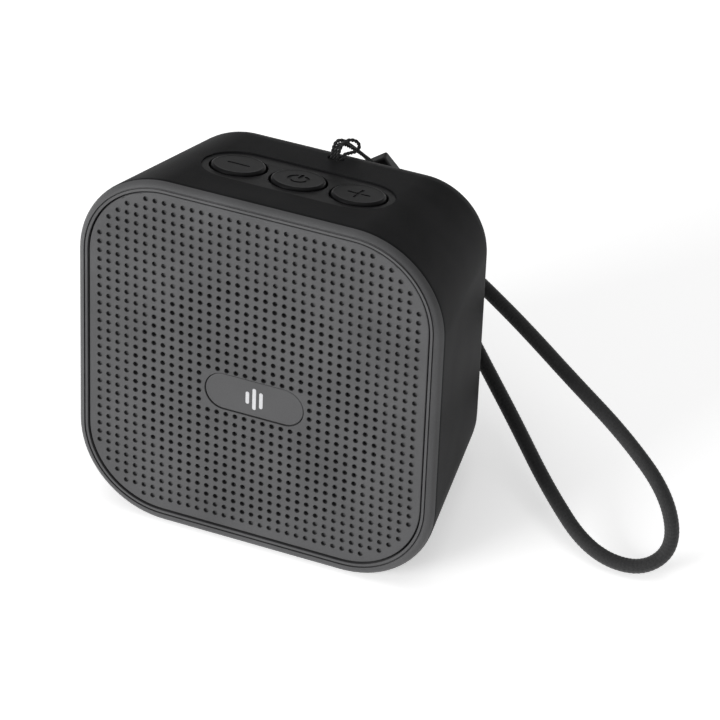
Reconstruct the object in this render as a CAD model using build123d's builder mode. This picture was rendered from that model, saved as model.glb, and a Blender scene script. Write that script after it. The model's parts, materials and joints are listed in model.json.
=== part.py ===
from build123d import *
import os
from math import cos, pi, radians, sin, tan

os.makedirs("parts", exist_ok=True)

# ---------------------------------------------------------------- driving dimensions, mm
WIDTH = 91.0  # the square front where the drafted sides meet its plane; 90 once rounded
DEPTH = 51.4  # front plane to back plane
DRAFT = radians(9.5)  # all four sides taper towards the back by this much
CORNER_FRONT, CORNER_BACK = 22.7, 15.7
FRONT_ROUND, REAR_ROUND = 2.5, 12.2
BAND = 1.9  # depth of the grey bezel that shows in front of the sleeve
SLEEVE, WALL = 2.0, 2.0  # silicone skin, and the plastic shell under it

# The underside has the same draft, so the body stands on it and leans back. The sole is
# trimmed by a hair to one true flat.
LEAN, SOLE_TRIM = DRAFT, 0.01
FOOT_Z = WIDTH / 2 * cos(LEAN) - SOLE_TRIM
BODY_FRONT = -(WIDTH / 2 - FRONT_ROUND) * sin(LEAN) - FRONT_ROUND * (1 - cos(LEAN))
ROUND_UP = WIDTH / 2 - (DEPTH - REAR_ROUND) * tan(DRAFT) - REAR_ROUND / cos(DRAFT)
BODY_BACK = ROUND_UP * sin(LEAN) + (DEPTH - REAR_ROUND) * cos(LEAN) + REAR_ROUND

# The front plane, seen from in front: local x to the right, local y up the face.
FACE = Plane(
    origin=(0, -(BODY_FRONT + BODY_BACK) / 2, FOOT_Z),
    x_dir=(1, 0, 0),
    z_dir=(0, -cos(LEAN), sin(LEAN)),
)

# Grille: a square grid of holes in a rounded square panel.
PANEL_HALF, PANEL_CORNER = 42.3, 19.4
PANEL_FRONT, PANEL_BACK, PANEL_GAP = 0.3, 1.6, 0.4
LEDGE_WIDE, LEDGE_DEEP = 0.62, 0.34  # the small step round the panel's seat
PITCH, HOLE_R = 2.312, 0.6
GRID_COUNT = 35
PANEL_UP, GRID_UP = 0.55, 0.9  # panel and hole grid sit a little above the body's middle
FIELD_HALF, FIELD_CORNER = 17.3 * PITCH, 7.0 * PITCH
DRIVER_UP = GRID_UP - 3 * PITCH  # the driver sits three holes below the middle
BADGE_UP, BADGE_LONG, BADGE_TALL = GRID_UP - 2.45 * PITCH, 24.6, 9.25
OPENING_HALF, OPENING_CORNER = 39.8, 17.0  # the bezel's way through

# Driver, a 66 mm unit.
FLANGE_R, CONE_R, COIL_R = 33.0, 31.0, 9.6
BAFFLE_FRONT, BAFFLE_BACK = 3.6, 6.1
FLANGE_FRONT = 6.9
MAGNET_R, MAGNET_FRONT, MAGNET_BACK, YOKE_BACK = 20.0, 20.5, 27.5, 30.5

# Buttons on the sloping top.
BUTTON_DEPTH, BUTTON_PITCH, BUTTON_R = 21.5, 14.9, 6.3
RECESS_LONG, RECESS_WIDE, RECESS_DEEP = 46.4, 18.3, 0.3
SKIN = SLEEVE * cos(DRAFT)  # the sleeve's thickness square to a drafted side

# Joint of the two shells, screws, back ports.
SHELL_JOINT = 12.0
SCREW_AT = 30.0
PORT_UP, PORT_LONG, PORT_TALL = -13.0, 34.0, 12.0
BOARD_FRONT, BOARD_BACK = 40.8, 42.0

# Strap.
CORD_D, STRING_D = 3.5, 0.6


def half(depth):
    """Half the body's width at a depth behind the front plane."""
    return WIDTH / 2 - depth * tan(DRAFT)


def corner(depth):
    """The body's corner radius at a depth behind the front plane."""
    return CORNER_FRONT - (CORNER_FRONT - CORNER_BACK) * depth / DEPTH


def behind(depth):
    """The plane parallel to the front at this depth, still facing forwards."""
    return FACE.offset(-depth)


def spot(x, up, depth):
    """A point of the leaning body in the row's own axes."""
    return FACE.from_local_coords(Vector(x, up, -depth))


def back_plane(depth, x=0.0, up=0.0):
    """A plane across the body's depth that faces backwards."""
    return Plane(origin=spot(x, up, depth), x_dir=(-1, 0, 0), z_dir=-FACE.z_dir)


def body_section(depth, inset=0.0):
    """The rounded square outline of the body, drawn in by a wall."""
    with BuildSketch(behind(depth)) as section:
        size = 2 * (half(depth) - inset)
        RectangleRounded(size, size, corner(depth) - inset)
    return section.sketch


def drafted(near, far, inset=0.0):
    """The body's drafted block between two depths."""
    return Solid.make_loft(
        [
            body_section(near, inset).face().outer_wire(),
            body_section(far, inset).face().outer_wire(),
        ],
        True,
    )


def rounded_block(near, far, inset, rounding):
    """A drafted block with its back edges rounded."""
    block = drafted(near, far, inset)
    back_edges = block.faces().sort_by(Axis(FACE.origin, -FACE.z_dir))[-1].edges()
    return block.fillet(rounding, back_edges)


def save(piece, name):
    """Label a finished piece and write it to its own file."""
    piece.part.label = name
    export_step(piece.part, f"parts/{name}.step")


# The sloping top at the middle button: local x to the right, local y towards the back.
TOP = Plane(
    origin=spot(0, half(BUTTON_DEPTH), BUTTON_DEPTH),
    x_dir=(1, 0, 0),
    z_dir=(0, sin(LEAN + DRAFT), cos(LEAN + DRAFT)),
)

# ---------------------------------------------------------------- front: bezel, grille, badge
# The whole outside: drafted sides, a small rounding in front and a large one behind.
outside = rounded_block(0, DEPTH, 0, REAR_ROUND)
front_edges = outside.faces().sort_by(Axis(FACE.origin, FACE.z_dir))[-1].edges()
outside = outside.fillet(FRONT_ROUND, front_edges)

with BuildPart() as front_bezel:
    add(outside)
    split(bisect_by=behind(BAND), keep=Keep.TOP)
    add(drafted(BAND, BAFFLE_FRONT, SLEEVE))
    with BuildSketch(FACE):
        with Locations((0, PANEL_UP)):
            RectangleRounded(2 * PANEL_HALF, 2 * PANEL_HALF, PANEL_CORNER)
    extrude(amount=-PANEL_BACK, mode=Mode.SUBTRACT)
    with BuildSketch(FACE):
        with Locations((0, PANEL_UP)):
            size = 2 * (PANEL_HALF + LEDGE_WIDE)
            RectangleRounded(size, size, PANEL_CORNER + LEDGE_WIDE)
    extrude(amount=-LEDGE_DEEP, mode=Mode.SUBTRACT)
    with BuildSketch(behind(PANEL_BACK)):
        with Locations((0, PANEL_UP)):
            RectangleRounded(2 * OPENING_HALF, 2 * OPENING_HALF, OPENING_CORNER)
    extrude(amount=-(BAFFLE_FRONT - PANEL_BACK), mode=Mode.SUBTRACT)
save(front_bezel, "front_bezel")


def in_field(x, up):
    """True where a grid point lies in the grille's rounded square field."""
    over_x = max(abs(x) - (FIELD_HALF - FIELD_CORNER), 0)
    over_up = max(abs(up) - (FIELD_HALF - FIELD_CORNER), 0)
    return (over_x**2 + over_up**2) ** 0.5 <= FIELD_CORNER


def beside_badge(x, up):
    """True where a grid point would fall under the badge."""
    return abs(x) < 5.5 * PITCH and -4.5 * PITCH < up < -0.5 * PITCH


steps = [(count - GRID_COUNT // 2) * PITCH for count in range(GRID_COUNT)]
holes = [(x, up) for up in steps for x in steps if in_field(x, up) and not beside_badge(x, up)]

# One thin panel with every hole in it; the ring behind it closes all holes but the driver's.
GRILLE_THICK, GLUE = 0.8, 0.06
grille_face = behind(PANEL_FRONT)
with BuildSketch(grille_face) as grille_outline:
    with Locations((0, PANEL_UP)):
        size = 2 * (PANEL_HALF - PANEL_GAP)
        RectangleRounded(size, size, PANEL_CORNER - PANEL_GAP)
with BuildSketch(grille_face) as badge_hole:
    with Locations((0, BADGE_UP)):
        SlotOverall(BADGE_LONG + 0.3, BADGE_TALL + 0.3)
hole_wires = [
    Wire.make_circle(
        HOLE_R,
        Plane(
            origin=spot(x, up + GRID_UP, PANEL_FRONT),
            x_dir=FACE.x_dir,
            z_dir=FACE.z_dir,
        ),
    )
    for x, up in holes
]
pierced = Face(
    grille_outline.sketch.face().outer_wire(),
    hole_wires + [badge_hole.sketch.face().outer_wire()],
)
with BuildPart() as front_grille:
    extrude(pierced, amount=-GRILLE_THICK)
save(front_grille, "front_grille")

with BuildPart() as grille_backing:
    with BuildSketch(behind(PANEL_FRONT + GRILLE_THICK + GLUE)):
        with Locations((0, PANEL_UP)):
            RectangleRounded(size, size, PANEL_CORNER - PANEL_GAP)
        with Locations((0, DRIVER_UP)):
            Circle(CONE_R, mode=Mode.SUBTRACT)
        with Locations((0, BADGE_UP)):
            SlotOverall(BADGE_LONG, BADGE_TALL)
    extrude(amount=-(PANEL_BACK - PANEL_FRONT - GRILLE_THICK - GLUE))
save(grille_backing, "grille_backing")

BADGE_SUNK = 0.2
with BuildPart() as badge_inlay:
    with BuildSketch(behind(PANEL_FRONT + BADGE_SUNK)):
        with Locations((0, BADGE_UP)):
            SlotOverall(BADGE_LONG, BADGE_TALL)
    extrude(amount=-(GRILLE_THICK - BADGE_SUNK))
save(badge_inlay, "badge_inlay")

# A plain mark of three level bars, foil on the badge.
with BuildPart() as badge_mark:
    with BuildSketch(behind(PANEL_FRONT + BADGE_SUNK)):
        for step, tall in ((-1, 3.2), (0, 5.6), (1, 4.2)):
            with Locations((step * 1.7, BADGE_UP)):
                RectangleRounded(0.9, tall, 0.4)
    extrude(amount=0.06)
save(badge_mark, "badge_mark")

with BuildPart() as dust_scrim:
    with BuildSketch(behind(PANEL_BACK + 0.02)):
        with Locations((0, PANEL_UP)):
            RectangleRounded(2 * OPENING_HALF - 0.4, 2 * OPENING_HALF - 0.4, OPENING_CORNER - 0.2)
    extrude(amount=-0.4)
save(dust_scrim, "dust_scrim")

# ---------------------------------------------------------------- front frame with its baffle
FRAME_BACK = SHELL_JOINT - 0.8
frame_bosses = [(x, up) for x in (-SCREW_AT, SCREW_AT) for up in (-SCREW_AT, SCREW_AT)]
driver_screw_at = FLANGE_R - 1.4
with BuildPart() as front_frame:
    add(drafted(BAFFLE_FRONT, FRAME_BACK, SLEEVE))
    add(drafted(BAFFLE_BACK, FRAME_BACK, SLEEVE + WALL), mode=Mode.SUBTRACT)
    with BuildSketch(behind(BAFFLE_BACK)):
        with Locations(*frame_bosses):
            Circle(3.0)
    extrude(amount=-(FRAME_BACK - BAFFLE_BACK))
    with BuildSketch(behind(FRAME_BACK)):
        with Locations(*frame_bosses):
            Circle(1.0)
    extrude(amount=FRAME_BACK - BAFFLE_BACK, mode=Mode.SUBTRACT)
    with BuildSketch(behind(BAFFLE_FRONT)):
        with Locations((0, DRIVER_UP)):
            Circle(CONE_R)
            with PolarLocations(driver_screw_at, 4, start_angle=45):
                Circle(0.8)
    extrude(amount=-(BAFFLE_BACK - BAFFLE_FRONT), mode=Mode.SUBTRACT)
save(front_frame, "front_frame")

with BuildPart() as shell_seal:
    with BuildSketch(behind(FRAME_BACK)):
        outer = 2 * (half(SHELL_JOINT) - SLEEVE - 0.3)
        inner = 2 * (half(FRAME_BACK) - SLEEVE - WALL + 0.3)
        RectangleRounded(outer, outer, corner(SHELL_JOINT) - SLEEVE - 0.3)
        RectangleRounded(inner, inner, corner(FRAME_BACK) - SLEEVE - WALL, mode=Mode.SUBTRACT)
    extrude(amount=-0.8)
save(shell_seal, "shell_seal")

# ---------------------------------------------------------------- driver
driver_plane = back_plane(0, 0, DRIVER_UP)


def turned(*points):
    """A closed radius-and-depth profile, spun about the driver's own axis."""
    profile_plane = Plane(origin=driver_plane.origin, x_dir=(1, 0, 0), z_dir=FACE.y_dir)
    with BuildSketch(profile_plane) as profile:
        with BuildLine():
            Polyline(*[(radius, depth) for radius, depth in points], close=True)
        make_face()
    return profile.sketch


driver_axis = Axis(driver_plane.origin, driver_plane.z_dir)

with BuildPart() as driver_gasket:
    with BuildSketch(driver_plane.offset(BAFFLE_BACK)):
        Circle(FLANGE_R)
        Circle(CONE_R - 0.4, mode=Mode.SUBTRACT)
        with PolarLocations(driver_screw_at, 4, start_angle=45):
            Circle(1.1, mode=Mode.SUBTRACT)
    extrude(amount=FLANGE_FRONT - BAFFLE_BACK)
save(driver_gasket, "driver_gasket")

BASKET_STEP = 19.5
with BuildPart() as driver_basket:
    add(
        turned(
            (CONE_R - 0.6, FLANGE_FRONT),
            (FLANGE_R, FLANGE_FRONT),
            (FLANGE_R, FLANGE_FRONT + 1.2),
            (30.0, FLANGE_FRONT + 1.2),
            (22.4, BASKET_STEP - 3.2),
            (22.4, BASKET_STEP),
            (19.2, MAGNET_FRONT - 2.0 + 1.0),
            (COIL_R + 1.7, MAGNET_FRONT - 1.0),
            (COIL_R + 1.7, MAGNET_FRONT - 2.0),
            (19.2, MAGNET_FRONT - 2.0),
            (21.2, BASKET_STEP - 3.4),
            (28.9, FLANGE_FRONT + 1.6),
        )
    )
    revolve(axis=driver_axis, revolution_arc=360)
    # Six windows in the basket's slope let the cone's back breathe.
    with BuildSketch(driver_plane.offset(FLANGE_FRONT + 2.4)):
        with PolarLocations(25.0, 6, start_angle=15):
            RectangleRounded(9.0, 12.0, 2.0)
    extrude(amount=6.0, mode=Mode.SUBTRACT)
    with BuildSketch(driver_plane.offset(FLANGE_FRONT)):
        with PolarLocations(driver_screw_at, 4, start_angle=45):
            Circle(1.1)
    extrude(amount=1.2, mode=Mode.SUBTRACT)
save(driver_basket, "driver_basket")

with BuildPart() as driver_top_plate:
    with BuildSketch(driver_plane.offset(MAGNET_FRONT - 1.0)):
        Circle(MAGNET_R - 1.0)
        Circle(COIL_R + 1.2, mode=Mode.SUBTRACT)
    extrude(amount=3.0)
save(driver_top_plate, "driver_top_plate")

with BuildPart() as driver_magnet:
    with BuildSketch(driver_plane.offset(MAGNET_FRONT + 2.0)):
        Circle(MAGNET_R)
        Circle(COIL_R + 2.4, mode=Mode.SUBTRACT)
    extrude(amount=MAGNET_BACK - MAGNET_FRONT - 2.0)
save(driver_magnet, "driver_magnet")

with BuildPart() as driver_yoke:
    with BuildSketch(driver_plane.offset(MAGNET_BACK)):
        Circle(MAGNET_R - 1.0)
    extrude(amount=YOKE_BACK - MAGNET_BACK)
    with BuildSketch(driver_plane.offset(MAGNET_FRONT - 1.0)):
        Circle(COIL_R - 1.0)
    extrude(amount=MAGNET_BACK - MAGNET_FRONT + 1.0)
save(driver_yoke, "driver_yoke")

# The moving set: coil on its former, cone, dust cap.
with BuildPart() as voice_coil:
    add(
        turned(
            (COIL_R - 0.3, 14.6),
            (COIL_R, 14.6),
            (COIL_R, 19.6),
            (COIL_R + 0.5, 19.6),
            (COIL_R + 0.5, 24.4),
            (COIL_R - 0.3, 24.4),
        )
    )
    revolve(axis=driver_axis, revolution_arc=360)
save(voice_coil, "voice_coil")

CONE_OUT, CONE_RIM = 25.6, 7.6
with BuildPart() as driver_cone:
    add(
        turned(
            (COIL_R, 14.6),
            (COIL_R, 15.2),
            (COIL_R + 0.8, 15.2),
            (CONE_OUT, CONE_RIM + 0.5),
            (CONE_OUT, CONE_RIM),
            (COIL_R + 0.5, 14.6),
        )
    )
    revolve(axis=driver_axis, revolution_arc=360)
save(driver_cone, "driver_cone")

with BuildPart() as dust_cap:
    add(
        turned(
            (0, 10.6),
            (4.0, 11.0),
            (7.6, 12.3),
            (COIL_R + 0.2, 14.6),
            (COIL_R - 0.4, 14.6),
            (7.3, 12.8),
            (3.9, 11.5),
            (0, 11.1),
        )
    )
    revolve(axis=driver_axis, revolution_arc=360)
save(dust_cap, "dust_cap")

# The roll surround and the spider bend as the cone moves.
with BuildPart() as cone_surround:
    add(
        turned(
            (CONE_OUT, CONE_RIM),
            (CONE_OUT + 0.6, 6.0),
            (CONE_OUT + 2.0, 5.1),
            (CONE_OUT + 3.6, 5.5),
            (CONE_R - 0.7, 6.4),
            (CONE_R - 0.7, 6.9),
            (CONE_OUT + 3.4, 6.1),
            (CONE_OUT + 2.0, 5.7),
            (CONE_OUT + 1.1, 6.4),
            (CONE_OUT + 0.5, CONE_RIM + 0.4),
            (CONE_OUT, CONE_RIM + 0.4),
        )
    )
    revolve(axis=driver_axis, revolution_arc=360)
save(cone_surround, "cone_surround")

with BuildPart() as spider:
    add(
        turned(
            (COIL_R + 0.05, 15.9),
            (12.6, 15.5),
            (14.8, 16.3),
            (17.0, 15.5),
            (20.6, 15.9),
            (20.6, 16.2),
            (17.0, 15.8),
            (14.8, 16.6),
            (12.6, 15.8),
            (COIL_R + 0.05, 16.2),
        )
    )
    revolve(axis=driver_axis, revolution_arc=360)
save(spider, "spider")

with BuildPart() as driver_screws:
    with BuildSketch(driver_plane.offset(FLANGE_FRONT + 1.2)):
        with PolarLocations(driver_screw_at, 4, start_angle=45):
            Circle(1.5)
    extrude(amount=1.1)
    with BuildSketch(driver_plane.offset(BAFFLE_FRONT + 0.6)):
        with PolarLocations(driver_screw_at, 4, start_angle=45):
            Circle(0.75)
    extrude(amount=FLANGE_FRONT + 0.6 - BAFFLE_FRONT)
save(driver_screws, "driver_screws")

# ---------------------------------------------------------------- rear housing
HOUSING_BACK = DEPTH - SLEEVE
CAVITY_BACK = HOUSING_BACK - WALL
LANYARD_DOWN = 18.7  # from the middle button, down the slope
LANYARD_X, LANYARD_LONG, LANYARD_WIDE = 1.0, 3.8, 2.8
BAR_R, BAR_DEEP = 0.6, 1.7
BAR_LONG = LANYARD_LONG + 2.0
bar_end = Plane(
    origin=TOP.from_local_coords(Vector(LANYARD_X - BAR_LONG / 2, LANYARD_DOWN, -BAR_DEEP)),
    x_dir=TOP.y_dir,
    z_dir=(1, 0, 0),
)
PORTS = back_plane(HOUSING_BACK, 0, PORT_UP)
USB_X, AUX_X, CARD_X = 9.6, 0.4, -10.2  # seen from behind, right is negative in the row
BOARD_SCREWS = [(x, up) for x in (-24.0, 24.0) for up in (-26.0, 2.0)]
KEY_SCREWS = [(-25.4, 0), (25.4, 0)]

SCREW_SEAT = SHELL_JOINT + 5.0

with BuildPart() as rear_housing:
    add(rounded_block(SHELL_JOINT, HOUSING_BACK, SLEEVE, REAR_ROUND - SLEEVE))
    add(
        rounded_block(SHELL_JOINT, CAVITY_BACK, SLEEVE + WALL, REAR_ROUND - SLEEVE - WALL),
        mode=Mode.SUBTRACT,
    )
    # Screw towers for the front frame, board posts, keyboard posts, strap pocket.
    with BuildSketch(behind(SHELL_JOINT)):
        with Locations(*frame_bosses):
            Circle(3.2)
    extrude(amount=-(CAVITY_BACK - SHELL_JOINT))
    with BuildSketch(behind(BOARD_BACK)):
        with Locations(*BOARD_SCREWS):
            Circle(2.4)
    extrude(amount=-(CAVITY_BACK - BOARD_BACK))
    with BuildSketch(TOP.offset(-6.4)):
        with Locations(*KEY_SCREWS):
            Circle(2.0)
    extrude(amount=6.4 - SLEEVE - WALL / 2)
    with BuildSketch(TOP.offset(-SLEEVE)):
        with Locations((LANYARD_X, LANYARD_DOWN)):
            RectangleRounded(LANYARD_LONG + 3.0, LANYARD_WIDE + 3.0, 1.0)
    extrude(amount=-3.0)
    add(rounded_block(SHELL_JOINT, HOUSING_BACK, SLEEVE, REAR_ROUND - SLEEVE), mode=Mode.INTERSECT)
    with BuildSketch(behind(HOUSING_BACK)):
        with Locations(*frame_bosses):
            Circle(2.2)
    extrude(amount=HOUSING_BACK - SCREW_SEAT, mode=Mode.SUBTRACT)
    with BuildSketch(behind(SHELL_JOINT)):
        with Locations(*frame_bosses):
            Circle(1.15)
    extrude(amount=-5.0, mode=Mode.SUBTRACT)
    with BuildSketch(behind(BOARD_BACK)):
        with Locations(*BOARD_SCREWS):
            Circle(0.85)
    extrude(amount=-4.0, mode=Mode.SUBTRACT)
    with BuildSketch(TOP.offset(-6.4)):
        with Locations(*KEY_SCREWS):
            Circle(0.75)
    extrude(amount=2.4, mode=Mode.SUBTRACT)
    with BuildSketch(TOP):
        SlotOverall(45.0, 15.2)
    extrude(amount=-5.0, mode=Mode.SUBTRACT)
    with BuildSketch(TOP):
        with Locations((LANYARD_X, LANYARD_DOWN)):
            RectangleRounded(LANYARD_LONG, LANYARD_WIDE, 1.2)
    extrude(amount=-3.8, mode=Mode.SUBTRACT)
    with BuildSketch(bar_end):
        Circle(BAR_R)
    extrude(amount=BAR_LONG, mode=Mode.SUBTRACT)
    with BuildSketch(PORTS):
        with Locations((USB_X, 0)):
            RectangleRounded(9.4, 4.0, 1.0)
        with Locations((AUX_X, 0)):
            Circle(3.2)
        with Locations((CARD_X, 0)):
            Rectangle(12.8, 2.6)
        with Locations((-8.0, 11.0)):
            Circle(1.1)
        with Locations((8.0, 11.0)):
            Circle(0.6)
    extrude(amount=-WALL, mode=Mode.SUBTRACT)
save(rear_housing, "rear_housing")

# Four screws from inside the towers clamp the front frame to the housing.
with BuildPart() as housing_screws:
    with BuildSketch(behind(SCREW_SEAT)):
        with Locations(*frame_bosses):
            Circle(2.0)
    extrude(amount=-1.8)
    with BuildSketch(behind(SCREW_SEAT)):
        with Locations(*frame_bosses):
            Circle(0.95)
    extrude(amount=10.0)
save(housing_screws, "housing_screws")

# ---------------------------------------------------------------- silicone sleeve
with BuildPart() as silicone_sleeve:
    add(outside)
    split(bisect_by=behind(BAND), keep=Keep.BOTTOM)
    split(bisect_by=Plane.XY, keep=Keep.TOP)
    add(
        rounded_block(BAND, HOUSING_BACK, SLEEVE, REAR_ROUND - SLEEVE),
        mode=Mode.SUBTRACT,
    )
    with BuildSketch(TOP.offset(1)):
        SlotOverall(RECESS_LONG, RECESS_WIDE)
    extrude(amount=-(SLEEVE + 1.5), mode=Mode.SUBTRACT)
    with BuildSketch(TOP.offset(1)):
        with Locations((LANYARD_X, LANYARD_DOWN)):
            RectangleRounded(LANYARD_LONG, LANYARD_WIDE, 1.2)
    extrude(amount=-(SLEEVE + 3.0), mode=Mode.SUBTRACT)
    with BuildSketch(bar_end):
        Circle(BAR_R)
    extrude(amount=BAR_LONG, mode=Mode.SUBTRACT)
    with BuildSketch(PORTS):
        Rectangle(PORT_LONG, PORT_TALL)
        with Locations((-8.0, 11.0)):
            Circle(1.1)
        with Locations((8.0, 11.0)):
            Circle(0.6)
    extrude(amount=SLEEVE + 1, mode=Mode.SUBTRACT)
save(silicone_sleeve, "silicone_sleeve")

# ---------------------------------------------------------------- buttons
BUTTON_X = {"minus": -BUTTON_PITCH, "power": 0.0, "plus": BUTTON_PITCH}
with BuildPart() as button_plate:
    with BuildSketch(TOP.offset(-SKIN)):
        SlotOverall(RECESS_LONG - 0.1, RECESS_WIDE - 0.1)
        with Locations(*[(x, 0) for x in BUTTON_X.values()]):
            Circle(BUTTON_R + 0.45, mode=Mode.SUBTRACT)
    extrude(amount=SKIN - RECESS_DEEP)
save(button_plate, "button_plate")

CAP_TOP, FLANGE_TOP, FLANGE_LOW, STEM_LOW = 0.3, -2.6, -3.4, -4.3
for name, x in BUTTON_X.items():
    with BuildPart() as button:
        with BuildSketch(TOP.offset(FLANGE_LOW)):
            with Locations((x, 0)):
                Circle(BUTTON_R)
        extrude(amount=CAP_TOP - FLANGE_LOW)
        rim = button.faces().sort_by(Axis(TOP.origin, TOP.z_dir))[-1].edges()
        fillet(rim, radius=0.6)
        with BuildSketch(TOP.offset(FLANGE_LOW)):
            with Locations((x, 0)):
                Circle(BUTTON_R + 0.75)
        extrude(amount=FLANGE_TOP - FLANGE_LOW)
        with BuildSketch(TOP.offset(STEM_LOW)):
            with Locations((x, 0)):
                Circle(1.6)
        extrude(amount=FLANGE_LOW - STEM_LOW)
        with BuildSketch(TOP.offset(CAP_TOP)):
            with Locations((x, 0)):
                if name == "power":
                    Circle(2.6)
                    Circle(1.8, mode=Mode.SUBTRACT)
                    with Locations((0, 2.2)):
                        Rectangle(2.4, 2.2, mode=Mode.SUBTRACT)
                    with Locations((0, 1.5)):
                        SlotOverall(2.8, 0.8, rotation=90)
                else:
                    SlotOverall(5.6, 0.7)
                    if name == "plus":
                        SlotOverall(5.6, 0.7, rotation=90)
        extrude(amount=-0.25, mode=Mode.SUBTRACT)
    save(button, f"button_{name}")

KEYBOARD_TOP = -6.4
with BuildPart() as key_board:
    with BuildSketch(TOP.offset(KEYBOARD_TOP)):
        RectangleRounded(56.0, 13.0, 2.0)
        with Locations(*KEY_SCREWS):
            Circle(0.9, mode=Mode.SUBTRACT)
    extrude(amount=-1.0)
save(key_board, "key_board")

with BuildPart() as tact_switches:
    with BuildSketch(TOP.offset(KEYBOARD_TOP)):
        with Locations(*[(x, 0) for x in BUTTON_X.values()]):
            RectangleRounded(6.0, 6.0, 0.4)
    extrude(amount=1.5)
    with BuildSketch(TOP.offset(KEYBOARD_TOP + 1.5)):
        with Locations(*[(x, 0) for x in BUTTON_X.values()]):
            Circle(1.25)
    extrude(amount=-1.2, mode=Mode.SUBTRACT)
save(tact_switches, "tact_switches")

for name, x in BUTTON_X.items():
    with BuildPart() as plunger:
        with BuildSketch(TOP.offset(STEM_LOW - 0.05)):
            with Locations((x, 0)):
                Circle(1.2)
        extrude(amount=-(STEM_LOW - 0.05 - KEYBOARD_TOP - 0.3 - 0.5))
    save(plunger, f"switch_plunger_{name}")

with BuildPart() as key_screws:
    with BuildSketch(TOP.offset(KEYBOARD_TOP - 1.0)):
        with Locations(*KEY_SCREWS):
            Circle(1.5)
    extrude(amount=-0.9)
    with BuildSketch(TOP.offset(KEYBOARD_TOP - 1.0)):
        with Locations(*KEY_SCREWS):
            Circle(0.7)
    extrude(amount=3.0)
save(key_screws, "key_screws")

# ---------------------------------------------------------------- main board and its parts
with BuildPart() as main_board:
    with BuildSketch(behind(BOARD_FRONT)):
        with Locations((0, -12)):
            RectangleRounded(55.0, 35.0, 3.0)
        with Locations(*BOARD_SCREWS):
            Circle(1.0, mode=Mode.SUBTRACT)
        with Locations((-AUX_X, PORT_UP)):
            Rectangle(7.0, 7.0, mode=Mode.SUBTRACT)
    extrude(amount=-(BOARD_BACK - BOARD_FRONT))
save(main_board, "main_board")

with BuildPart() as board_chips:
    with BuildSketch(behind(BOARD_FRONT)):
        with Locations((-14, -20)):
            Rectangle(7.0, 7.0)
        with Locations((14, -22)):
            Rectangle(5.0, 6.0)
        with Locations((14, -9)):
            Circle(3.0)
    extrude(amount=1.1)
save(board_chips, "board_chips")

with BuildPart() as radio_module:
    with BuildSketch(behind(BOARD_FRONT)):
        with Locations((-14, -6)):
            Rectangle(13.0, 12.0)
    extrude(amount=1.8)
save(radio_module, "radio_module")

with BuildPart() as wire_headers:
    with BuildSketch(behind(BOARD_FRONT)):
        with Locations((-22, -16), (22, -16)):
            Rectangle(4.0, 7.0)
    extrude(amount=3.4)
save(wire_headers, "wire_headers")

with BuildPart() as board_screws:
    with BuildSketch(behind(BOARD_FRONT)):
        with Locations(*BOARD_SCREWS):
            Circle(1.7)
    extrude(amount=1.0)
    with BuildSketch(behind(BOARD_FRONT)):
        with Locations(*BOARD_SCREWS):
            Circle(0.8)
    extrude(amount=-5.0)
save(board_screws, "board_screws")

board_rear = back_plane(BOARD_BACK, 0, PORT_UP)
SOCKET_DEEP = HOUSING_BACK - BOARD_BACK
with BuildPart() as usb_socket:
    with BuildSketch(board_rear):
        with Locations((USB_X, 0)):
            RectangleRounded(8.9, 3.5, 0.8)
    extrude(amount=SOCKET_DEEP)
    with BuildSketch(board_rear.offset(SOCKET_DEEP)):
        with Locations((USB_X, 0)):
            RectangleRounded(8.3, 2.9, 0.6)
            Rectangle(5.6, 0.7, mode=Mode.SUBTRACT)
    extrude(amount=-5.6, mode=Mode.SUBTRACT)
save(usb_socket, "usb_socket")

AUX_LONG, PLUG_R = 13.0, 1.8
aux_rear = back_plane(HOUSING_BACK, 0, PORT_UP)
with BuildPart() as aux_socket:
    with BuildSketch(aux_rear.offset(-WALL)):
        with Locations((AUX_X, 0)):
            Rectangle(6.6, 6.6)
    extrude(amount=-(AUX_LONG - WALL + 1.0))
    with BuildSketch(aux_rear):
        with Locations((AUX_X, 0)):
            Circle(3.0)
    extrude(amount=-WALL)
    with BuildSketch(aux_rear):
        with Locations((AUX_X, 0)):
            Circle(PLUG_R)
    extrude(amount=-AUX_LONG, mode=Mode.SUBTRACT)
save(aux_socket, "aux_socket")

with BuildPart() as card_socket:
    with BuildSketch(board_rear):
        with Locations((CARD_X, 0)):
            Rectangle(12.4, 2.3)
    extrude(amount=SOCKET_DEEP)
    with BuildSketch(board_rear.offset(SOCKET_DEEP)):
        with Locations((CARD_X, 0)):
            Rectangle(11.2, 1.0)
    extrude(amount=-6.6, mode=Mode.SUBTRACT)
save(card_socket, "card_socket")

with BuildPart() as light_pipe:
    with BuildSketch(back_plane(DEPTH, 0, PORT_UP)):
        with Locations((-8.0, 11.0)):
            Circle(1.05)
    extrude(amount=-(DEPTH - BOARD_BACK - 0.9))
save(light_pipe, "light_pipe")

with BuildPart() as status_led:
    with BuildSketch(board_rear):
        with Locations((-8.0, 11.0)):
            Rectangle(2.0, 1.4)
    extrude(amount=0.7)
save(status_led, "status_led")

with BuildPart() as microphone:
    with BuildSketch(board_rear):
        with Locations((8.0, 11.0)):
            Circle(2.0)
    extrude(amount=1.6)
save(microphone, "microphone")

# ---------------------------------------------------------------- battery
CELL_UP, CELL_DEPTH, CELL_R, CELL_LONG = 20.2, 36.4, 9.0, 50.0
cell_end = Plane(origin=spot(-CELL_LONG / 2, CELL_UP, CELL_DEPTH), x_dir=(0, 1, 0), z_dir=(1, 0, 0))
with BuildPart() as battery_cell:
    with BuildSketch(cell_end):
        Circle(CELL_R)
    extrude(amount=CELL_LONG)
    fillet(battery_cell.edges(), radius=0.8)
save(battery_cell, "battery_cell")

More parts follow.
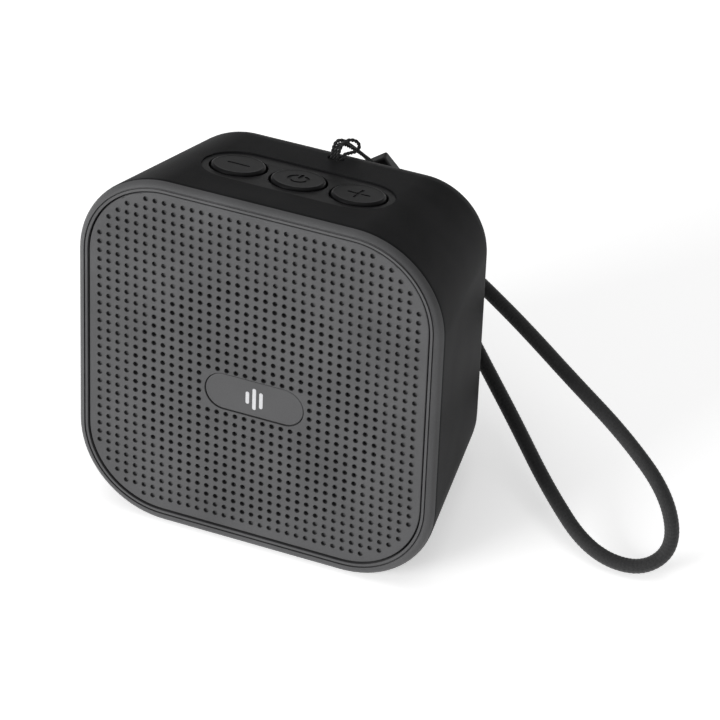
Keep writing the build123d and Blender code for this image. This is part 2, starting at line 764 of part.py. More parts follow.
with BuildPart() as battery_guard:
    with BuildSketch(cell_end.offset(CELL_LONG)):
        Circle(CELL_R - 0.6)
    extrude(amount=1.2)
save(battery_guard, "battery_guard")

with BuildPart() as battery_pads:
    with BuildSketch(back_plane(CAVITY_BACK, 0, CELL_UP - 1.0)):
        with Locations((-15, 0), (15, 0)):
            Rectangle(10.0, 9.0)
    extrude(amount=-(CAVITY_BACK - CELL_DEPTH))
    with BuildSketch(cell_end.offset(-1)):
        Circle(CELL_R + 0.02)
    extrude(amount=CELL_LONG + 2, mode=Mode.SUBTRACT)
save(battery_pads, "battery_pads")

# ---------------------------------------------------------------- port cover
COVER_GAP, BEAD_R = 0.3, 0.9
cover_hinge = spot(-(PORT_LONG / 2 - BEAD_R - 0.15), PORT_UP, DEPTH - 1.0)
with BuildPart() as port_cover:
    with BuildSketch(back_plane(DEPTH - 0.15, 0, PORT_UP)):
        with Locations((-COVER_GAP / 2 - 0.3, 0)):
            Rectangle(PORT_LONG - 2 * BEAD_R - COVER_GAP, PORT_TALL - 2 * COVER_GAP)
    extrude(amount=-1.5)
    with BuildSketch(Plane(origin=cover_hinge, x_dir=(1, 0, 0), z_dir=FACE.y_dir)) as bead:
        Circle(BEAD_R)
    extrude(amount=PORT_TALL / 2 - COVER_GAP, both=True)
save(port_cover, "port_cover")

# ---------------------------------------------------------------- inside wiring
WIRE_D = 1.2
header_top = BOARD_FRONT - 3.4


def inner_wire(places, bend):
    """A wire's run through body points with one bend radius, as a closed tube."""
    with BuildPart() as wire:
        with BuildLine() as route:
            FilletPolyline(*[spot(*place) for place in places], radius=bend)
        with BuildSketch(Plane(origin=route.line @ 0, z_dir=route.line % 0)):
            Circle(WIRE_D / 2)
        sweep()
    return wire.part


with BuildPart() as driver_terminals:
    with BuildSketch(driver_plane.offset(BASKET_STEP - 3.0)):
        with Locations((-25.0, 0)):
            Rectangle(6.0, 8.0)
        Circle(22.4, mode=Mode.SUBTRACT)
    extrude(amount=2.6)
save(driver_terminals, "driver_terminals")

terminal_back = BASKET_STEP - 0.4
with BuildPart() as speaker_wires:
    for side in (-1.5, 1.5):
        places = [
            (-26.5, DRIVER_UP + side, terminal_back),
            (-27.0, DRIVER_UP - 1 + side, 29.0),
            (-22.0, -15 + side, 32.5),
            (-22.0, -16 + side, header_top),
        ]
        add(inner_wire(places, 2.0))
save(speaker_wires, "speaker_wires")

with BuildPart() as battery_wires:
    for side in (-1.5, 1.5):
        places = [
            (CELL_LONG / 2 + 1.2, CELL_UP - 3, CELL_DEPTH - 2 + side),
            (30.0, CELL_UP - 5, CELL_DEPTH - 3 + side),
            (30.0, -3.0, CELL_DEPTH - 3 + side),
            (22.0, -15 + side, 33.5 + side / 2),
            (22.0, -16 + side, header_top),
        ]
        add(inner_wire(places, 1.6))
save(battery_wires, "battery_wires")

# Flat flex from the key board, down in front of the cell, to the main board.
RIBBON_WIDE, RIBBON_THICK = 6.0, 0.3
side_plane = Plane(origin=spot(-20.0, 0, 0), x_dir=-FACE.z_dir, z_dir=(1, 0, 0))
with BuildPart() as key_ribbon:
    with BuildSketch(side_plane):
        with BuildLine():
            Polyline((26.4, 32.6), (26.4, 13.0), (33.0, 7.0), (38.6, 3.4), (BOARD_FRONT - 0.1, 3.4))
        trace(line_width=RIBBON_THICK)
    extrude(amount=RIBBON_WIDE)
save(key_ribbon, "key_ribbon")

# ---------------------------------------------------------------- strap
with BuildPart() as lanyard_bar:
    with BuildSketch(bar_end):
        Circle(BAR_R)
    extrude(amount=BAR_LONG)
save(lanyard_bar, "lanyard_bar")


def free_cord(points, diameter):
    """A closed tube along straight runs joined by the largest arcs its runs allow."""
    runs = [Vector(*b) - Vector(*a) for a, b in zip(points, points[1:])]
    radii = []
    for first, second in zip(runs, runs[1:]):
        half_turn = radians(first.get_angle(second) / 2)
        radii.append(0.45 * min(first.length, second.length) / tan(half_turn))
    with BuildPart() as tube:
        with BuildLine() as route:
            FilletPolyline(*points, radius=radii)
        with BuildSketch(Plane(origin=route.line @ 0, z_dir=route.line % 0)):
            Circle(diameter / 2)
        sweep()
    length = route.wire().length
    print("cord", round(length, 1), "mm, radii", [round(radius, 1) for radius in radii])
    print("   volume over section times length", tube.part.volume / (pi * diameter**2 / 4 * length))
    return tube.part


# The wrist loop leaves the tab's lower edge, comes round the body's corner, lies on its tip.
WRIST_ROUTE = [
    (16.5, 39.0, 46.5),
    (25.0, 37.0, 41.0),
    (35.5, 31.5, 39.0),
    (47.5, 24.0, 37.5),
    (62.0, 15.0, 34.5),
    (78.0, 6.5, 30.0),
    (91.0, 0.5, 21.0),
    (94.0, -2.0, 7.5),
    (87.0, -6.5, 1.8),
    (74.0, -5.5, 3.0),
    (60.0, 5.0, 8.5),
    (46.5, 17.5, 15.0),
    (35.5, 27.5, 19.5),
    (27.0, 34.0, 25.5),
    (19.5, 37.5, 34.0),
    (13.5, 38.5, 44.5),
]
with BuildPart() as wrist_cord:
    add(free_cord(WRIST_ROUTE, CORD_D))
save(wrist_cord, "wrist_cord")

# Two string tails run from the bar, over the back edge, to the tab.
TAIL_LEFT = [
    (0.0, 21.3, 75.6),
    (-0.1, 22.4, 78.0),
    (0.1, 24.2, 79.6),
    (1.2, 25.7, 79.0),
    (2.0, 27.6, 76.5),
    (2.9, 30.6, 72.6),
    (3.2, 33.6, 68.9),
    (2.3, 36.3, 65.6),
]
TAIL_RIGHT = [
    (0.7, 21.3, 75.6),
    (0.6, 22.4, 77.6),
    (0.7, 23.8, 79.0),
    (1.6, 25.1, 78.5),
    (2.6, 27.1, 76.3),
    (3.6, 30.3, 72.4),
    (3.9, 33.4, 68.8),
    (3.0, 36.4, 65.9),
]
# The hitch is the string's loop, standing over the two tails and back into the hole.
HITCH = [
    (1.4, 21.5, 75.6),
    (1.3, 22.3, 77.4),
    (1.6, 23.8, 79.1),
    (2.5, 25.2, 79.8),
    (4.0, 26.3, 79.3),
    (4.7, 26.9, 77.8),
    (4.3, 26.7, 76.0),
    (3.3, 25.0, 76.4),
    (2.2, 22.9, 77.1),
    (2.1, 21.8, 75.6),
]
for name, route_points in (
    ("lanyard_tail_left", TAIL_LEFT),
    ("lanyard_tail_right", TAIL_RIGHT),
    ("lanyard_hitch", HITCH),
):
    with BuildPart() as string:
        add(free_cord(route_points, STRING_D))
    save(string, name)

# The tab that joins string and cord, thin at the string and thicker where the cord goes in.
TAB_TOP, TAB_END = Vector(2.6, 36.4, 65.9), Vector(15.0, 39.0, 46.0)
TAB_WIDE, TAB_THIN, TAB_THICK = 9.2, 2.6, 4.8
tab_along = (TAB_END - TAB_TOP).normalized()
tab_across = Vector(0.82, 0.17, 0.55)
with BuildPart() as strap_tab:
    for origin, thick in ((TAB_TOP, TAB_THIN), (TAB_END, TAB_THICK)):
        with BuildSketch(Plane(origin=origin, x_dir=tab_across, z_dir=tab_along)):
            RectangleRounded(TAB_WIDE, thick, 1.1)
    loft()
save(strap_tab, "strap_tab")
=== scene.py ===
"""A small square wireless speaker with a wrist strap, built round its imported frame."""

import json
from math import copysign, cos, pi, radians, sin, tan

import bmesh
import bpy
from mathutils import Matrix, Vector


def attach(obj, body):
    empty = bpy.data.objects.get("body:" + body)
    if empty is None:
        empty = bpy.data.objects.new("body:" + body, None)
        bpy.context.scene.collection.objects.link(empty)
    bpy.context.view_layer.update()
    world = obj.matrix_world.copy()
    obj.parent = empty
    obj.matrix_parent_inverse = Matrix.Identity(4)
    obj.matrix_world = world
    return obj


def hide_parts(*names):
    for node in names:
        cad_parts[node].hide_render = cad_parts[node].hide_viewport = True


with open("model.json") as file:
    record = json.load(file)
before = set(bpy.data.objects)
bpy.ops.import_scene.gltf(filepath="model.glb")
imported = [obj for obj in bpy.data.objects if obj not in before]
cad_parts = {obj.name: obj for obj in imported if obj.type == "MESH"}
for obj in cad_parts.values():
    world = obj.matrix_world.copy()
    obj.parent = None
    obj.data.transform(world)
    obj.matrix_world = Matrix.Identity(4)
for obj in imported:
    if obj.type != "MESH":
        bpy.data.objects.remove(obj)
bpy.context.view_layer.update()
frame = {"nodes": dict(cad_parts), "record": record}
scene = bpy.context.scene

# ---------------------------------------------------------------- camera
# A long lens looks down on the speaker from its right front, with a slight roll.
camera_data = bpy.data.cameras.new("camera")
camera_data.lens = 188.65
camera_data.clip_start = 0.05
camera = bpy.data.objects.new("camera", camera_data)
scene.collection.objects.link(camera)
scene.camera = camera
CAMERA_AT = (0.3040, -0.5994, 0.5973)
CAMERA_TURN, CAMERA_ROLL = radians(25.712), radians(-2.464)
looking = Vector((-0.3320, 0.6895, -0.6438)).normalized()
level = Vector((cos(CAMERA_TURN), sin(CAMERA_TURN), 0))
rightward = level * cos(CAMERA_ROLL) + level.cross(looking) * sin(CAMERA_ROLL)
camera_axes = Matrix((rightward, rightward.cross(looking), -looking)).transposed()
camera.matrix_world = Matrix.Translation(CAMERA_AT) @ camera_axes.to_4x4()

# ---------------------------------------------------------------- wrist cord
# The carrying loop: 3.5 mm round elastic cord with a tight polyester braid over it.
# It leaves the tab behind the speaker, comes round the corner, and lies on its far bend.


def linear(code):
    """A colour written as an sRGB hex value, as the shader's linear red, green, blue."""
    parts = [int(code[i : i + 2], 16) / 255 for i in (1, 3, 5)]
    return (*[p / 12.92 if p <= 0.04045 else ((p + 0.055) / 1.055) ** 2.4 for p in parts], 1)


def add_node(tree, kind, values=None, links=None, **settings):
    """Adds one node with its settings, its sockets' values and the links into it."""
    made = tree.nodes.new(kind)
    for name, value in settings.items():
        setattr(made, name, value)
    for socket, value in (values or {}).items():
        made.inputs[socket].default_value = value
    for socket, source in (links or {}).items():
        tree.links.new(source, made.inputs[socket])
    return made


def new_finish(name, **values):
    """A material named for its real stuff, with its constant values on the shader."""
    material = bpy.data.materials.new(name)
    material.use_nodes = True
    shader = material.node_tree.nodes["Principled BSDF"]
    for socket, value in values.items():
        shader.inputs[socket.replace("_", " ")].default_value = value
    return material, material.node_tree, shader


def centreline(name, route):
    """Points read from a smooth spline that a flexible thing lies along."""
    curve = bpy.data.curves.new(name, "CURVE")
    curve.dimensions = "3D"
    spline = curve.splines.new("NURBS")
    spline.points.add(len(route) - 1)
    for point, place in zip(spline.points, route):
        point.co = (*place, 1)
    spline.order_u = 3
    spline.use_endpoint_u = True
    spline.resolution_u = 60
    holder = bpy.data.objects.new(name, curve)
    scene.collection.objects.link(holder)
    bpy.context.view_layer.update()
    line = bpy.data.meshes.new_from_object(holder)
    places = [vertex.co.copy() for vertex in line.vertices]
    bpy.data.objects.remove(holder)
    bpy.data.meshes.remove(line)
    return places


def evenly(places, gap):
    """The same line with its points a set distance apart."""
    spaced, carried = [places[0]], 0.0
    for here, there in zip(places, places[1:]):
        step = (there - here).length
        while step > 1e-9 and carried + step >= gap:
            here = here.lerp(there, (gap - carried) / step)
            spaced.append(here)
            step, carried = (there - here).length, 0.0
        carried += step
    return spaced


def swept_tube(name, places, around, reach):
    """A closed tube round a line; reach(turn, along) is its radius there, in metres."""
    tangent = (places[1] - places[0]).normalized()
    side = tangent.orthogonal().normalized()
    vertices, faces, corners, along = [], [], [], 0.0
    for index, here in enumerate(places):
        before, after = places[max(index - 1, 0)], places[min(index + 1, len(places) - 1)]
        along += (here - before).length
        tangent = (after - before).normalized()
        side = (side - tangent * side.dot(tangent)).normalized()
        other = tangent.cross(side)
        for step in range(around):
            turn = step / around
            spoke = side * cos(2 * pi * turn) + other * sin(2 * pi * turn)
            vertices.append(here + spoke * reach(turn, along))
            corners.append((along, turn))
    for ring in range(len(places) - 1):
        for step in range(around):
            here, beside = ring * around + step, ring * around + (step + 1) % around
            faces.append((here, beside, beside + around, here + around))
    faces.append(tuple(range(around))[::-1])
    faces.append(tuple(range(len(vertices) - around, len(vertices))))
    mesh = bpy.data.meshes.new(name)
    mesh.from_pydata(vertices, [], faces)
    layer = mesh.uv_layers.new(name="along_and_round")
    for loop in mesh.loops:
        layer.data[loop.index].uv = (corners[loop.vertex_index][0] * 100, corners[loop.vertex_index][1])
    for face in mesh.polygons:
        face.use_smooth = len(face.vertices) == 4
    tube = bpy.data.objects.new(name, mesh)
    scene.collection.objects.link(tube)
    return tube


WRIST_ROUTE = [
    (0.0165, 0.0390, 0.0465),
    (0.0250, 0.0370, 0.0410),
    (0.0355, 0.0315, 0.0390),
    (0.0475, 0.0240, 0.0375),
    (0.0620, 0.0150, 0.0345),
    (0.0780, 0.0065, 0.0300),
    (0.0910, 0.0005, 0.0210),
    (0.0940, -0.0020, 0.0075),
    (0.0870, -0.0065, 0.0018),
    (0.0740, -0.0055, 0.0030),
    (0.0600, 0.0050, 0.0085),
    (0.0465, 0.0175, 0.0150),
    (0.0355, 0.0275, 0.0195),
    (0.0270, 0.0340, 0.0255),
    (0.0195, 0.0375, 0.0340),
    (0.0135, 0.0385, 0.0445),
]
CORD_D = 0.0035
CORD_STATIONS, CORD_AROUND = 0.00027, 72
# Twenty-two carriers weave round it, and a strand crosses over another every millimetre.
CARRIERS, CROSSING, STRAND_RISE = 22, 0.001, 0.00006


def braid_reach(turn, along):
    """The braid's surface: rounded lumps where one strand lies over another."""
    one = cos(pi * (CARRIERS * turn + along / CROSSING))
    other = cos(pi * (CARRIERS * turn - along / CROSSING))
    return CORD_D / 2 - STRAND_RISE + STRAND_RISE * one * other


wrist_line = centreline("wrist_line", WRIST_ROUTE)
wrist_cord = swept_tube(
    "wrist_cord_braid", evenly(wrist_line, CORD_STATIONS), CORD_AROUND, braid_reach
)

# Black braided polyester: matt thread with a little sheen on its fibres.
material, tree, shader = new_finish(
    "black_polyester_braid",
    Base_Color=linear("#1b1b1c"),
    Roughness=0.82,
    IOR=1.5,
    Sheen_Weight=0.25,
    Sheen_Roughness=0.5,
)
places = add_node(tree, "ShaderNodeTexCoord")
fibres = add_node(
    tree,
    "ShaderNodeTexNoise",
    {"Scale": 2600.0, "Detail": 3.0, "Roughness": 0.6},
    {"Vector": places.outputs["Object"]},
)
shades = add_node(tree, "ShaderNodeValToRGB", links={"Fac": fibres.outputs["Fac"]})
shades.color_ramp.elements[0].position, shades.color_ramp.elements[1].position = 0.35, 0.75
shades.color_ramp.elements[0].color = linear("#0d0d0e")
shades.color_ramp.elements[1].color = linear("#252526")
tree.links.new(shades.outputs["Color"], shader.inputs["Base Color"])
fuzz = add_node(
    tree,
    "ShaderNodeBump",
    {"Strength": 0.35, "Distance": 0.00008},
    {"Height": fibres.outputs["Fac"]},
)
tree.links.new(fuzz.outputs["Normal"], shader.inputs["Normal"])
braid_finish = material
wrist_cord.data.materials.append(braid_finish)
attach(wrist_cord, "speaker_body")
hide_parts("wrist_cord")

# ---------------------------------------------------------------- lanyard string
# One thin two-ply string ties the strap on: two tails and a hitch loop round the steel bar.
# Its two plies are twisted together, with a full turn in a little under two millimetres.
TAIL_LEFT = [
    (0.0000, 0.0213, 0.0756),
    (-0.0001, 0.0224, 0.0780),
    (0.0001, 0.0242, 0.0796),
    (0.0012, 0.0257, 0.0790),
    (0.0020, 0.0276, 0.0765),
    (0.0029, 0.0306, 0.0726),
    (0.0032, 0.0336, 0.0689),
    (0.0023, 0.0363, 0.0656),
]
TAIL_RIGHT = [
    (0.0007, 0.0213, 0.0756),
    (0.0006, 0.0224, 0.0776),
    (0.0007, 0.0238, 0.0790),
    (0.0016, 0.0251, 0.0785),
    (0.0026, 0.0271, 0.0763),
    (0.0036, 0.0303, 0.0724),
    (0.0039, 0.0334, 0.0688),
    (0.0030, 0.0364, 0.0659),
]
HITCH = [
    (0.0014, 0.0215, 0.0756),
    (0.0013, 0.0223, 0.0774),
    (0.0016, 0.0238, 0.0791),
    (0.0025, 0.0252, 0.0798),
    (0.0040, 0.0263, 0.0793),
    (0.0047, 0.0269, 0.0778),
    (0.0043, 0.0267, 0.0760),
    (0.0033, 0.0250, 0.0764),
    (0.0022, 0.0229, 0.0771),
    (0.0021, 0.0218, 0.0756),
]
PLY_R, PLY_OFF, PLY_TURN = 0.00026, 0.0002, 0.0018
STRING_STATIONS, PLY_AROUND = 0.0001, 8
for name, route in (
    ("lanyard_tail_left", TAIL_LEFT),
    ("lanyard_tail_right", TAIL_RIGHT),
    ("lanyard_hitch", HITCH),
):
    line = evenly(centreline(name, route), STRING_STATIONS)
    plies = []
    for start in (0, pi):
        side = (line[1] - line[0]).orthogonal().normalized()
        helix = []
        for index, here in enumerate(line):
            after, before = line[min(index + 1, len(line) - 1)], line[max(index - 1, 0)]
            tangent = (after - before).normalized()
            side = (side - tangent * side.dot(tangent)).normalized()
            angle = start + 2 * pi * index * STRING_STATIONS / PLY_TURN
            helix.append(here + (side * cos(angle) + tangent.cross(side) * sin(angle)) * PLY_OFF)
        plies.append(swept_tube(name + "_ply", helix, PLY_AROUND, lambda turn, along: PLY_R))
    bpy.ops.object.select_all(action="DESELECT")
    for ply in plies:
        ply.select_set(True)
    bpy.context.view_layer.objects.active = plies[0]
    bpy.ops.object.join()
    string = plies[0]
    string.name = name + "_string"
    string.data.materials.append(braid_finish)
    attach(string, "speaker_body")
    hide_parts(name)

# ---------------------------------------------------------------- strap tab
# A small moulded rubber tab clamps both ends of the cord and the string's two tails.
# It lies flat on the sleeve's back, thin at the string and thicker where the cord goes in.


def alone(piece):
    """Makes one piece the only selected and the active one."""
    if bpy.context.object and bpy.context.object.mode != "OBJECT":
        bpy.ops.object.mode_set(mode="OBJECT")
    bpy.ops.object.select_all(action="DESELECT")
    piece.select_set(True)
    bpy.context.view_layer.objects.active = piece


def edit(piece):
    """Opens one piece for shaping, with nothing of it selected."""
    alone(piece)
    bpy.ops.object.mode_set(mode="EDIT")
    bpy.ops.mesh.select_all(action="DESELECT")


def pick(piece, kind, test):
    """Selects the corners, edges or faces whose every corner passes a test of its place."""
    bpy.ops.mesh.select_mode(type=kind)
    bpy.ops.mesh.select_all(action="DESELECT")
    mesh = bmesh.from_edit_mesh(piece.data)
    items = {"VERT": mesh.verts, "EDGE": mesh.edges, "FACE": mesh.faces}[kind]
    for item in items:
        corners = [item] if kind == "VERT" else item.verts
        if all(test(corner.co) for corner in corners):
            item.select_set(True)
    bmesh.update_edit_mesh(piece.data)


def apply_modifier(piece, name, kind, **settings):
    """Adds one modifier to a piece and applies it."""
    alone(piece)
    modifier = piece.modifiers.new(name, kind)
    for key, value in settings.items():
        setattr(modifier, key, value)
    bpy.ops.object.modifier_apply(modifier=name)


def finish_piece(piece, name, place, body, finish, nodes, angle=35):
    """Smooths a shaped piece, puts it where it belongs and fixes it to its body."""
    alone(piece)
    bpy.ops.object.shade_smooth_by_angle(angle=radians(angle))
    apply_modifier(piece, "even_faces", "WEIGHTED_NORMAL", keep_sharp=True, weight=60)
    piece.data.transform(place)
    piece.matrix_world = Matrix.Identity(4)
    piece.name = piece.data.name = name
    piece.data.materials.clear()
    piece.data.materials.append(finish)
    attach(piece, body)
    if nodes:
        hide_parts(*nodes)


TAB_TOP, TAB_END = Vector((2.6, 36.4, 65.9)), Vector((15.0, 39.0, 46.0))
tab_along = (TAB_END - TAB_TOP).normalized()
tab_across = Vector((0.82, 0.17, 0.55))
tab_across = (tab_across - tab_along * tab_across.dot(tab_along)).normalized()
tab_axes = Matrix((tab_across, tab_along.cross(tab_across), tab_along)).transposed()
TO_METRES = Matrix.Scale(0.001, 4)
TAB_AT = TO_METRES @ Matrix.Translation((TAB_TOP + TAB_END) / 2) @ tab_axes.to_4x4()
TAB_LONG, TAB_WIDE, TAB_THIN, TAB_THICK = (TAB_END - TAB_TOP).length, 9.2, 2.6, 4.8
GROOVE_HALF = 0.35
bpy.ops.mesh.primitive_cube_add(size=1)
tab = bpy.context.object
edit(tab)
bpy.ops.mesh.select_all(action="SELECT")
bpy.ops.transform.resize(value=(TAB_WIDE, TAB_THICK, TAB_LONG), center_override=(0, 0, 0))
pick(tab, "VERT", lambda c: c.z < 0)
bpy.ops.transform.resize(value=(1, TAB_THIN / TAB_THICK, 1), center_override=(0, 0, 0))
pick(tab, "EDGE", lambda c: True)
bpy.ops.mesh.bevel(offset=0.5, segments=3, affect="EDGES")
# Two pressed grooves cross it, above the cord's ends.
for groove in (TAB_LONG * 0.18, TAB_LONG * 0.3):
    for shift in (-GROOVE_HALF, 0, GROOVE_HALF):
        bpy.ops.mesh.select_all(action="SELECT")
        bpy.ops.mesh.bisect(plane_co=(0, 0, groove + shift), plane_no=(0, 0, 1))
    pick(tab, "VERT", lambda c: abs(c.z - groove) < 0.02)
    bpy.ops.transform.resize(value=(0.96, 0.86, 1), center_override=(0, 0, groove))

# Soft black rubber, satin from the mould.
material, tree, shader = new_finish("moulded_black_rubber", Roughness=0.5, IOR=1.5)
places = add_node(tree, "ShaderNodeTexCoord")
mottle = add_node(
    tree,
    "ShaderNodeTexNoise",
    {"Scale": 900.0, "Detail": 4.0},
    {"Vector": places.outputs["Object"]},
)
shades = add_node(tree, "ShaderNodeValToRGB", links={"Fac": mottle.outputs["Fac"]})
shades.color_ramp.elements[0].color = linear("#1a1a1b")
shades.color_ramp.elements[1].color = linear("#252526")
tree.links.new(shades.outputs["Color"], shader.inputs["Base Color"])
skin = add_node(
    tree, "ShaderNodeBump", {"Strength": 0.2, "Distance": 0.00005}, {"Height": mottle.outputs["Fac"]}
)
tree.links.new(skin.outputs["Normal"], shader.inputs["Normal"])
finish_piece(tab, "strap_tab_moulded", TAB_AT, "speaker_body", material, ["strap_tab"])

# ---------------------------------------------------------------- outer form
# The case is a rounded square that tapers 9.5 degrees a side towards the back.
# It is shaped in millimetres, face up, and then stood up leaning back on its drafted underside.
WIDTH, DEPTH, DRAFT = 91.0, 51.4, radians(9.5)
CORNER_FRONT, CORNER_BACK = 22.7, 15.7
FRONT_ROUND, REAR_ROUND = 2.5, 12.2
STANDING = Matrix.Translation((0, -0.024058, 0.044866))
FACE_AT = STANDING @ Matrix.Rotation(pi / 2 - DRAFT, 4, "X") @ TO_METRES
CORNER_STEPS = 20


def rounded_outline(wide, tall, corner, steps, up=0.0, depth=0.0, x=0.0):
    """Adds a rounded rectangle's edge loop to the open mesh and leaves it selected."""
    bpy.ops.mesh.select_all(action="DESELECT")
    bpy.ops.mesh.primitive_plane_add(size=1, location=(x, up, -depth))
    bpy.ops.transform.resize(value=(wide, tall, 1), center_override=(x, up, -depth))
    bpy.ops.mesh.select_mode(type="VERT")
    bpy.ops.mesh.bevel(offset=corner, segments=steps, affect="VERTICES")
    bpy.ops.mesh.select_mode(type="FACE")
    bpy.ops.mesh.delete(type="ONLY_FACE")


def empty_piece(name):
    """An empty mesh, open for shaping."""
    piece = bpy.data.objects.new(name, bpy.data.meshes.new(name))
    scene.collection.objects.link(piece)
    edit(piece)
    return piece


def at_depth(depth):
    """A test for corners that lie at one depth behind the front plane."""
    return lambda corner: abs(corner.z + depth) < 0.01


def rounded_off(radius, turn):
    """How far from an edge a rounding of that radius starts, on faces that turn so much."""
    return radius * tan(turn / 2)


case = empty_piece("case")
rounded_outline(WIDTH, WIDTH, CORNER_FRONT, CORNER_STEPS)
back_width = WIDTH - 2 * DEPTH * tan(DRAFT)
rounded_outline(back_width, back_width, CORNER_BACK, CORNER_STEPS, depth=DEPTH)
bpy.ops.mesh.select_mode(type="EDGE")
bpy.ops.mesh.select_all(action="SELECT")
bpy.ops.mesh.bridge_edge_loops()
for depth, rounding, steps in (
    (0, rounded_off(FRONT_ROUND, pi / 2 + DRAFT), 8),
    (DEPTH, rounded_off(REAR_ROUND, pi / 2 - DRAFT), 14),
):
    pick(case, "EDGE", at_depth(depth))
    bpy.ops.mesh.edge_face_add()
    pick(case, "EDGE", at_depth(depth))
    bpy.ops.mesh.bevel(offset=rounding, segments=steps, affect="EDGES")
bpy.ops.mesh.select_all(action="SELECT")
bpy.ops.mesh.normals_make_consistent(inside=False)
bpy.ops.object.mode_set(mode="OBJECT")

# ---------------------------------------------------------------- front bezel
# A grey ABS ring frames the grille. Its outer edge rolls over into the body's side.
BAND, PANEL_HALF, PANEL_CORNER, PANEL_UP = 1.9, 42.3, 19.4, 0.55
CREST, STEP_TOP, LEDGE_DEEP, LEDGE_WIDE = 0.2, 0.03, 0.12, 0.62
GROOVE_WIDE, GROOVE_DEEP, SEAT_DEEP = 0.3, 0.6, 1.5


def copy_of(piece):
    """The same shape again, with its own mesh."""
    copy = piece.copy()
    copy.data = piece.data.copy()
    scene.collection.objects.link(copy)
    return copy


bezel = copy_of(case)
edit(bezel)
bpy.ops.mesh.select_all(action="SELECT")
bpy.ops.mesh.bisect(plane_co=(0, 0, -BAND), plane_no=(0, 0, 1), clear_inner=True)
bpy.ops.mesh.select_all(action="SELECT")
bpy.ops.mesh.bisect(plane_co=(0, 0, -CREST), plane_no=(0, 0, 1), clear_outer=True)
# Inside the shoulder runs a fine groove, then a narrow ridge, and then the panel's seat.
ridge_half, ridge_corner = PANEL_HALF + LEDGE_WIDE, PANEL_CORNER + LEDGE_WIDE
step_half, step_corner = ridge_half + GROOVE_WIDE, ridge_corner + GROOVE_WIDE
rounded_outline(2 * step_half, 2 * step_half, step_corner, CORNER_STEPS, PANEL_UP, STEP_TOP)
pick(bezel, "EDGE", lambda c: c.z > -CREST - 0.01)
bpy.ops.mesh.bridge_edge_loops()


def on_outline(half, corner, up, depth):
    """A test for corners on one rounded square loop."""

    def test(place):
        x, y = abs(place.x), abs(place.y - up)
        over_x, over_y = max(x - (half - corner), 0), max(y - (half - corner), 0)
        reach = (over_x**2 + over_y**2) ** 0.5 if over_x and over_y else max(over_x, over_y)
        return abs(reach - corner) < 0.02 and abs(place.z + depth) < 0.02

    return test


def draw_in(inwards, down):
    """Extrudes the selected loop, moving it down and in towards the panel."""
    bpy.ops.mesh.extrude_region_move(TRANSFORM_OT_translate={"value": (0, 0, -down)})
    mesh = bmesh.from_edit_mesh(bezel.data)
    straight = PANEL_HALF - PANEL_CORNER
    for place in [vertex.co for vertex in mesh.verts if vertex.select]:
        bend = Vector((copysign(straight, place.x), PANEL_UP + copysign(straight, place.y - PANEL_UP)))
        out = place.xy - bend
        place.xy = bend + out * (1 - inwards / out.length)
    bmesh.update_edit_mesh(bezel.data)


pick(bezel, "EDGE", on_outline(step_half, step_corner, PANEL_UP, STEP_TOP))
for inwards, down in (
    (0, GROOVE_DEEP - STEP_TOP),
    (GROOVE_WIDE, 0),
    (0, LEDGE_DEEP - GROOVE_DEEP),
    (LEDGE_WIDE, 0),
    (0, SEAT_DEEP - LEDGE_DEEP),
):
    draw_in(inwards, down)
bpy.ops.mesh.select_mode(type="EDGE")
mesh = bmesh.from_edit_mesh(bezel.data)
for edge in mesh.edges:
    edge.select_set(edge.is_boundary)
bmesh.update_edit_mesh(bezel.data)
bpy.ops.mesh.bridge_edge_loops()
for half_size, round_size, depth in (
    (step_half, step_corner, STEP_TOP),
    (ridge_half, ridge_corner, LEDGE_DEEP),
    (PANEL_HALF, PANEL_CORNER, LEDGE_DEEP),
):
    pick(bezel, "EDGE", on_outline(half_size, round_size, PANEL_UP, depth))
    bpy.ops.mesh.bevel(offset=0.08, segments=2, affect="EDGES")
bpy.ops.mesh.select_all(action="SELECT")
bpy.ops.mesh.normals_make_consistent(inside=False)
bpy.ops.object.mode_set(mode="OBJECT")

# Grey ABS with the fine grain of a spark-eroded mould. The real grain is about 0.05 mm;
# it is drawn at about 0.3 mm so that it shows.
GRAIN = 3300.0


def moulded(name, dark, light, roughness, grain, rise, gloss=0.2):
    """Moulded plastic: two close shades and a fine raised grain, all from one noise."""
    material, tree, shader = new_finish(name, Roughness=roughness, IOR=1.5)
    shader.inputs["Specular IOR Level"].default_value = gloss
    places = add_node(tree, "ShaderNodeTexCoord")
    speck = add_node(
        tree,
        "ShaderNodeTexNoise",
        {"Scale": grain, "Detail": 3.0, "Roughness": 0.6},
        {"Vector": places.outputs["Object"]},
    )
    cloud = add_node(
        tree, "ShaderNodeTexNoise", {"Scale": 60.0, "Detail": 2.0}, {"Vector": places.outputs["Object"]}
    )
    both = add_node(
        tree,
        "ShaderNodeMath",
        {1: 0.65},
        {0: speck.outputs["Fac"], 2: cloud.outputs["Fac"]},
        operation="MULTIPLY_ADD",
    )
    shades = add_node(tree, "ShaderNodeValToRGB", links={"Fac": both.outputs["Value"]})
    shades.color_ramp.elements[0].position, shades.color_ramp.elements[1].position = 0.5, 1.1
    shades.color_ramp.elements[0].color = linear(dark)
    shades.color_ramp.elements[1].color = linear(light)
    raised = add_node(
        tree,
        "ShaderNodeBump",
        {"Strength": 0.4, "Distance": rise},
        {"Height": speck.outputs["Fac"]},
    )
    tree.links.new(shades.outputs["Color"], shader.inputs["Base Color"])
    tree.links.new(raised.outputs["Normal"], shader.inputs["Normal"])
    return material


grey_abs = moulded("grey_abs_eroded", "#474748", "#525253", 0.5, GRAIN, 0.00004)
finish_piece(bezel, "bezel_ring", FACE_AT, "speaker_body", grey_abs, ["front_bezel"])

